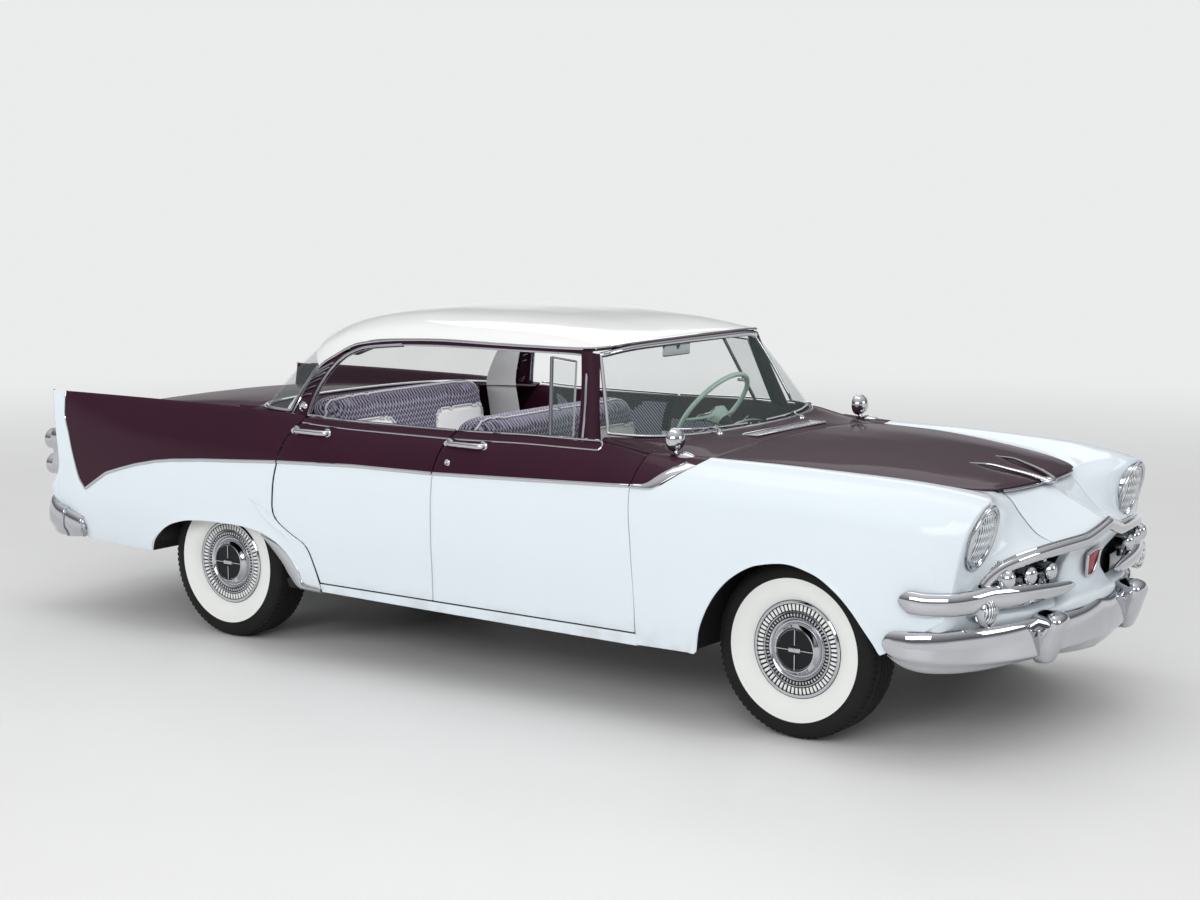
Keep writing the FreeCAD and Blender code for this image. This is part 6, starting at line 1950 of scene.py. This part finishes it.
# %% Cabin details
def tunnel(x, y, low=438, rise=112):
    near = min(1.0, max(0.0, (175 - abs(y)) / 60))
    return np.array((x, y, low + rise * near * near * (3 - 2 * near)))


mat = panel("cabin_carpet", lambda u, v: tunnel(-380 + 1395 * u, -790 + 1580 * v), 30, 60, (0, 0, 1), wall=4)
dressed(mat, "body", carpet)
toe_wall = panel("toe_wall", lambda u, v: (1024 - 26 * (1 - v) ** 3, -690 + 1380 * u, 446 + 420 * v), 24, 14,
                 (-1, 0, 0), wall=4)
dressed(toe_wall, "body", carpet)
pedals = []
for y, width in ((440, 44), (330, 50), (215, 34)):
    pedals.append(block("pedal", (930, y - width / 2, 530), (942, y + width / 2, 612 if width > 40 else 590),
                        bevel=5))
    pedals.append(tube("arm", [(942, y, 575), (985, y, 640), (1012, y, 700)], 6, steps=14, sides=8))
dressed(joined("pedals", pedals), "body", black_trim)
inner_mirror = [block("mirror_back", (588, -100, 1356), (604, 100, 1408), bevel=7, segments=4),
                tube("mirror_arm", [(600, 0, 1385), (618, 0, 1412), (640, 0, 1438)], 5, steps=12, sides=8)]
bright("inner_mirror", inner_mirror)
reflector = block("inner_mirror_glass", (585, -93, 1361), (589, 93, 1403), bevel=2)
dressed(reflector, "body", mirror_glass)
for side_name, side in SIDES:
    visor = block(f"sun_visor_{side_name}", (450, side * 330 - 200, 1462), (600, side * 330 + 200, 1476), bevel=6,
                  segments=4)
    for point in visor.data.vertices:
        point.co.z -= (point.co.x - 0.45) * 0.22
    dressed(visor, "body", white_vinyl)
wiper_parts = []
for side in (-1, 1):
    glass_at = lambda u, v: np.array(windshield_place(u, v)) + (7, 0, 5)
    blade = [glass_at(u, v) for u, v in ((0.06, 0.03), (0.2, 0.035), (0.36, 0.045), (0.5, 0.06))]
    wiper_parts.append(tube("blade", [p * (1, side, 1) for p in blade], 3.5, flat=1.6, steps=40, sides=8))
    foot_point = np.array((1036, 330, 1080))
    middle_point = np.array(glass_at(0.28, 0.04)) + (4, 0, 4)
    wiper_parts.append(tube("arm", [p * (1, side, 1)
                                    for p in (foot_point + (0, 0, 8), foot_point + (-10, -16, 13), middle_point)], 4,
                                    steps=24, sides=8))
    wiper_parts.append(turned("pivot", [(-6, 1), (-6, 16), (6, 14), (14, 9), (15, 1)], foot_point * (1, side, 1),
                              axis="z", steps=24))
for number in range(17):
    y = -256 + number * 32
    wiper_parts.append(block("vent_bar", (1120, y - 11, 1074), (1182, y + 11, 1079.5), bevel=2, segments=2))
wiper_parts.append(tube("vent_frame",
                        [(x, y, 1077) for x, y in ((1112, -275), (1112, 0), (1112, 275), (1120, 284), (1182, 284),
                                                   (1190, 275), (1190, 0), (1190, -275), (1182, -284), (1120, -284))],
                        4, closed=True, steps=120, sides=8))
bright("wipers_and_air_grille", wiper_parts)

# %% [markdown]
# ## Firewall and engine bay
# Under the hood stand the firewall, with its pressed ribs and heater box, the inner walls, and the
# engine's own dress: ribbed valve covers, a round air cleaner, a fan and the radiator.

# %% Firewall
def firewall_place(u, v):
    y, z = -725 + 1450 * u, 440 + 590 * v
    rib = 6 * (math.sin(z * 0.05) > 0.55) * (abs(y) > 190)
    return np.array((1062 + rib, y, z))


firewall = panel("firewall", firewall_place, 60, 50, (1, 0, 0))
shelf = panel("cowl_shelf", spanning(ribbed([
    ((1060, 0, 1030), (1240, 0, 1062)),
    ((1060, 400, 1028), (1240, 400, 1050)),
    ((1060, 720, 1020), (1240, 676, 1028)),
])), 40, 8, (0, 0, -1))
for side in (-1, 1):
    kick = panel("kick", lambda u, v: (762 + 268 * u, side * 742, 436 + 590 * v), 8, 12, (0, -side, 0), wall=6)
    shelf = joined("cowl_shelf", [shelf, kick])
dressed(joined("firewall_and_cowl", [firewall, shelf]), "body", black_trim, None, ["cowl"])
heater = block("heater_box", (1072, -560, 700), (1190, -250, 930), bevel=22, segments=4)
master = turned("brake_reservoir", [(-70, 1), (-70, 42), (40, 42), (46, 48), (60, 48), (70, 40), (72, 1)],
                (1130, 470, 760), axis="z", steps=32)
battery = block("battery", (1560, -560, 640), (1760, -400, 830), bevel=6)
posts = [turned("post", [(-2, 1), (-2, 9), (18, 8), (18, 1)], (x, -480, 832), axis="z", steps=16)
         for x in (1600, 1720)]
dressed(joined("bay_boxes", [heater, master, battery] + posts), "body", black_trim)

# %% Engine dress
engine_red = dull("engine_enamel", (0.30, 0.025, 0.02), 0.35, 120, 0.15, 0.5, 0.7)
dress = []
for side in (-1, 1):
    cover = block("valve_cover", (1190, side * 235 - 62, 790), (1680, side * 235 + 62, 868), bevel=16)
    for point in cover.data.vertices:
        point.co.z -= max(0.0, side * point.co.y - 0.235) * 0.55
    dress.append(cover)
    for number in range(6):
        dress.append(block("cover_rib", (1215 + number * 80, side * 235 - 50, 864),
                           (1225 + number * 80, side * 235 + 40, 874), bevel=2, segments=1))
dressed(joined("valve_covers", dress), "body", engine_red)
cleaner = turned("cleaner", [(-40, 1), (-40, 60), (-20, 150), (-12, 172), (30, 176), (38, 168), (46, 150), (40, 60),
                             (52, 20), (52, 1)], (1440, 0, 880), axis="z")
neck = turned("neck", [(-90, 1), (-90, 70), (-30, 60), (-30, 1)], (1440, 0, 880), axis="z", steps=40)
nut = block("nut", (1434, -24, 930), (1446, 24, 944), bevel=4)
dressed(joined("air_cleaner", [cleaner, neck, nut]), "body", black_trim)
fan = [turned("fan_hub", [(-40, 1), (-40, 52), (10, 52), (20, 40), (22, 1)], (1850, 0, 640), axis="x", steps=32),
       turned("pulley", [(-20, 1), (-20, 78), (-12, 82), (-6, 66), (0, 66), (6, 82), (14, 78), (14, 1)],
              (1826, 0, 470), axis="x", steps=40)]
for number in range(5):
    turn = number * TURN / 5
    blade = panel("blade", lambda u, v: np.array((1862 + (u - 0.5) * 38, 45 + 165 * v, (u - 0.5) * (70 + 20 * v))), 6,
                  8, (1, 0, 0), wall=2, edge=0.6)
    for point in blade.data.vertices:
        y, z = point.co.y, point.co.z
        point.co.y = y * math.cos(turn) - z * math.sin(turn)
        point.co.z = y * math.sin(turn) + z * math.cos(turn) + 0.64
    fan.append(blade)
dressed(joined("fan_and_pulley", fan), "body", plain_steel)
core = Finish("radiator_core", Roughness=0.5, Metallic=0.6)
fins = core.node("ShaderNodeTexWave", {"wave_type": "BANDS", "bands_direction": "Y"}, core.place, 90.0, 0.4, out=1)
core.set("Base Color", core.mix(fins, (0.012, 0.012, 0.013), (0.09, 0.085, 0.08)))
core.bump(fins, 0.8, 0.002)
dressed(block("radiator_core", (2240, -300, 440), (2290, 300, 850), bevel=5), "body", core.material)
tanks = [block("tank", (2225, -312, 846), (2305, 312, 905), bevel=16, segments=4),
         block("tank", (2225, -312, 416), (2305, 312, 452), bevel=12),
         turned("filler", [(-4, 1), (-4, 26), (14, 26), (20, 32), (28, 32), (32, 22), (32, 1)], (2265, -120, 908),
                axis="z", steps=32),
         block("strap", (2222, -330, 416), (2308, -300, 880), bevel=4),
         block("strap", (2222, 300, 416), (2308, 330, 880), bevel=4)]
dressed(joined("radiator_tanks", tanks), "body", black_trim)

# %% [markdown]
# ## Finishes of the frame and running gear
# These pieces keep their CAD shapes. Each only needs its own finish: black chassis paint with dust
# and rust in patches, dull steel for the exhaust, and undercoat inside the wheelhouses.

# %% Chassis finishes
def weathered(name, colour, dirt, rough=0.7):
    """Chassis paint with road dust and a little rust."""
    coat = Finish(name)
    cloud = coat.noise(6, 6)
    spot = coat.noise(45, 4)
    mix = coat.mix(cloud.step(0.42, 0.75) * 0.7, colour, dirt)
    coat.set("Base Color", coat.mix(spot.step(0.62, 0.74) * 0.5, mix, (0.12, 0.055, 0.028)))
    coat.set("Roughness", cloud * 0.25 + (rough - 0.1))
    return coat.bump(spot + coat.noise(300, 2) * 0.5, 0.35, 0.001).material


frame_black = weathered("frame_black", (0.016, 0.016, 0.017), (0.075, 0.070, 0.062))
undercoat = weathered("undercoat", (0.010, 0.010, 0.011), (0.030, 0.028, 0.026), 0.85)
axle_iron = weathered("axle_iron", (0.030, 0.030, 0.032), (0.10, 0.09, 0.078), 0.6)
block_enamel = weathered("block_enamel", (0.16, 0.022, 0.018), (0.07, 0.055, 0.045), 0.5)
tank_metal = weathered("tank_metal", (0.12, 0.12, 0.12), (0.10, 0.085, 0.07), 0.5)
shelf_cloth = dull("shelf_cloth", (0.060, 0.030, 0.045), 0.9, 600, 0.4, 0.4, 0.8)
KEPT = {
    "chassis_frame": frame_black, "front_suspension": frame_black, "rear_axle": axle_iron,
    "steering_knuckle_left": axle_iron, "steering_knuckle_right": axle_iron, "engine_and_gearbox": block_enamel,
    "fuel_tank_and_exhaust": tank_metal, "floor_pan": undercoat, "wheelhouses": undercoat,
    "rear_deck": shelf_cloth, "steering_column": plum_paint,
}
for node, material in KEPT.items():
    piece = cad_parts[node]
    if not piece.material_slots:
        piece.data.materials.append(material)
    for holder in piece.material_slots:
        holder.material = material
still_plain = [name for name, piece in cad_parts.items() if not piece.hide_render and name not in KEPT]
print("CAD nodes still plain:", still_plain)

# %% Springs
springs = []
for side in (-1, 1):
    coil = lambda share: (FRONT_AXLE + 55 * math.cos(share * 6 * TURN), side * 560 + 55 * math.sin(share * 6 * TURN),
                          330 + 150 * share)
    springs.append(tube("coil", None, 8, steps=220, sides=8, run=coil))
dressed(joined("coil_springs", springs), "body", axle_iron)

# %% [markdown]
# ## Floor, lights and camera
# A pale floor and large soft lamps show the paint's shape without hiding its colour. The camera
# stands low at the car's right front quarter, with a long lens.

# %% Stage and camera
deselect()
bpy.ops.mesh.primitive_plane_add(size=60)
floor = bpy.context.object
floor.name = "studio_floor"
ground = Finish("studio_floor_finish", Roughness=0.5)
ground.set("Base Color", ground.mix(ground.noise(2, 3), (0.76, 0.76, 0.755), (0.73, 0.73, 0.725)))
BACKDROP = (0.83, 0.835, 0.84, 1)
away = ground.node("ShaderNodeVectorMath", {"operation": "LENGTH"}, ground.place, out=1)
path = ground.node("ShaderNodeLightPath", {}, out=None)
direct = (Wire(ground, path.outputs["Is Camera Ray"]) + Wire(ground, path.outputs["Is Glossy Ray"])
          + Wire(ground, path.outputs["Is Transmission Ray"])).clamp()
glow = ground.node("ShaderNodeEmission", {}, BACKDROP, 1.0)
blend = ground.node("ShaderNodeMixShader", {}, away.step(4.5, 13.0) * direct, Wire(ground, ground.shader.outputs[0]),
                    glow)
ground.tree.links.new(blend.socket, ground.tree.nodes["Material Output"].inputs[0])
floor.data.materials.append(ground.material)

world = bpy.data.worlds.new("studio")
bpy.context.scene.world = world
world.use_nodes = True
tree = world.node_tree
way = tree.nodes.new("ShaderNodeTexCoord")
split = tree.nodes.new("ShaderNodeSeparateXYZ")
ramp = tree.nodes.new("ShaderNodeValToRGB")
for stop, (place, colour) in zip(list(ramp.color_ramp.elements) + [ramp.color_ramp.elements.new(0.2)],
                                 ((0.075, BACKDROP), (1.0, (0.34, 0.35, 0.37, 1)), (0.17, (0.13, 0.135, 0.15, 1)))):
    stop.position, stop.color = place, colour
tree.links.new(way.outputs["Generated"], split.inputs[0])
tree.links.new(split.outputs["Z"], ramp.inputs[0])
tree.links.new(ramp.outputs[0], tree.nodes["Background"].inputs["Color"])
tree.nodes["Background"].inputs["Strength"].default_value = 1.0

LAMPS = (
    # name, place, size, power, aim
    ("key", (5.0, -9.0, 5.2), (8.0, 3.2), 385, (0.0, 0.0, 0.6)),
    ("side", (-6.0, -8.5, 3.2), (6.0, 2.4), 240, (-0.6, 0.0, 0.9)),
    ("front", (11.0, 3.0, 4.5), (4.0, 2.6), 165, (1.5, 0.0, 0.6)),
    ("top", (0.0, 0.0, 8.0), (8.0, 2.6), 95, (0.0, 0.0, 0.5)),
    ("far", (-4.0, 7.5, 7.5), (8.0, 3.0), 120, (0.0, 0.0, 0.7)),
    ("cabin", (-0.35, 0.0, 1.385), (0.9, 1.0), 6, (-0.35, 0.0, 0.0)),
)
for name, place, spread, power, aim in LAMPS:
    light = bpy.data.lights.new(name, "AREA")
    light.shape = "RECTANGLE"
    light.size, light.size_y, light.energy = *spread, power
    lamp = bpy.data.objects.new(name, light)
    lamp.location = place
    lamp.rotation_euler = (Vector(aim) - Vector(place)).to_track_quat("-Z", "Y").to_euler()
    bpy.context.collection.objects.link(lamp)
    lamp.visible_glossy = name not in ("side", "cabin")

lens = bpy.data.cameras.new("camera")
lens.sensor_width, lens.lens = 36.0, 64.9
camera = bpy.data.objects.new("camera", lens)
bpy.context.collection.objects.link(camera)
camera.location = (5.862, -7.818, 2.243)
heading, pitch = math.radians(125.993), math.radians(7.883)
look = Vector((math.cos(heading) * math.cos(pitch), math.sin(heading) * math.cos(pitch), -math.sin(pitch)))
camera.rotation_euler = look.to_track_quat("-Z", "Y").to_euler()
lens.clip_end = 200
bpy.context.scene.camera = camera
bpy.context.scene.view_settings.view_transform = "Standard"
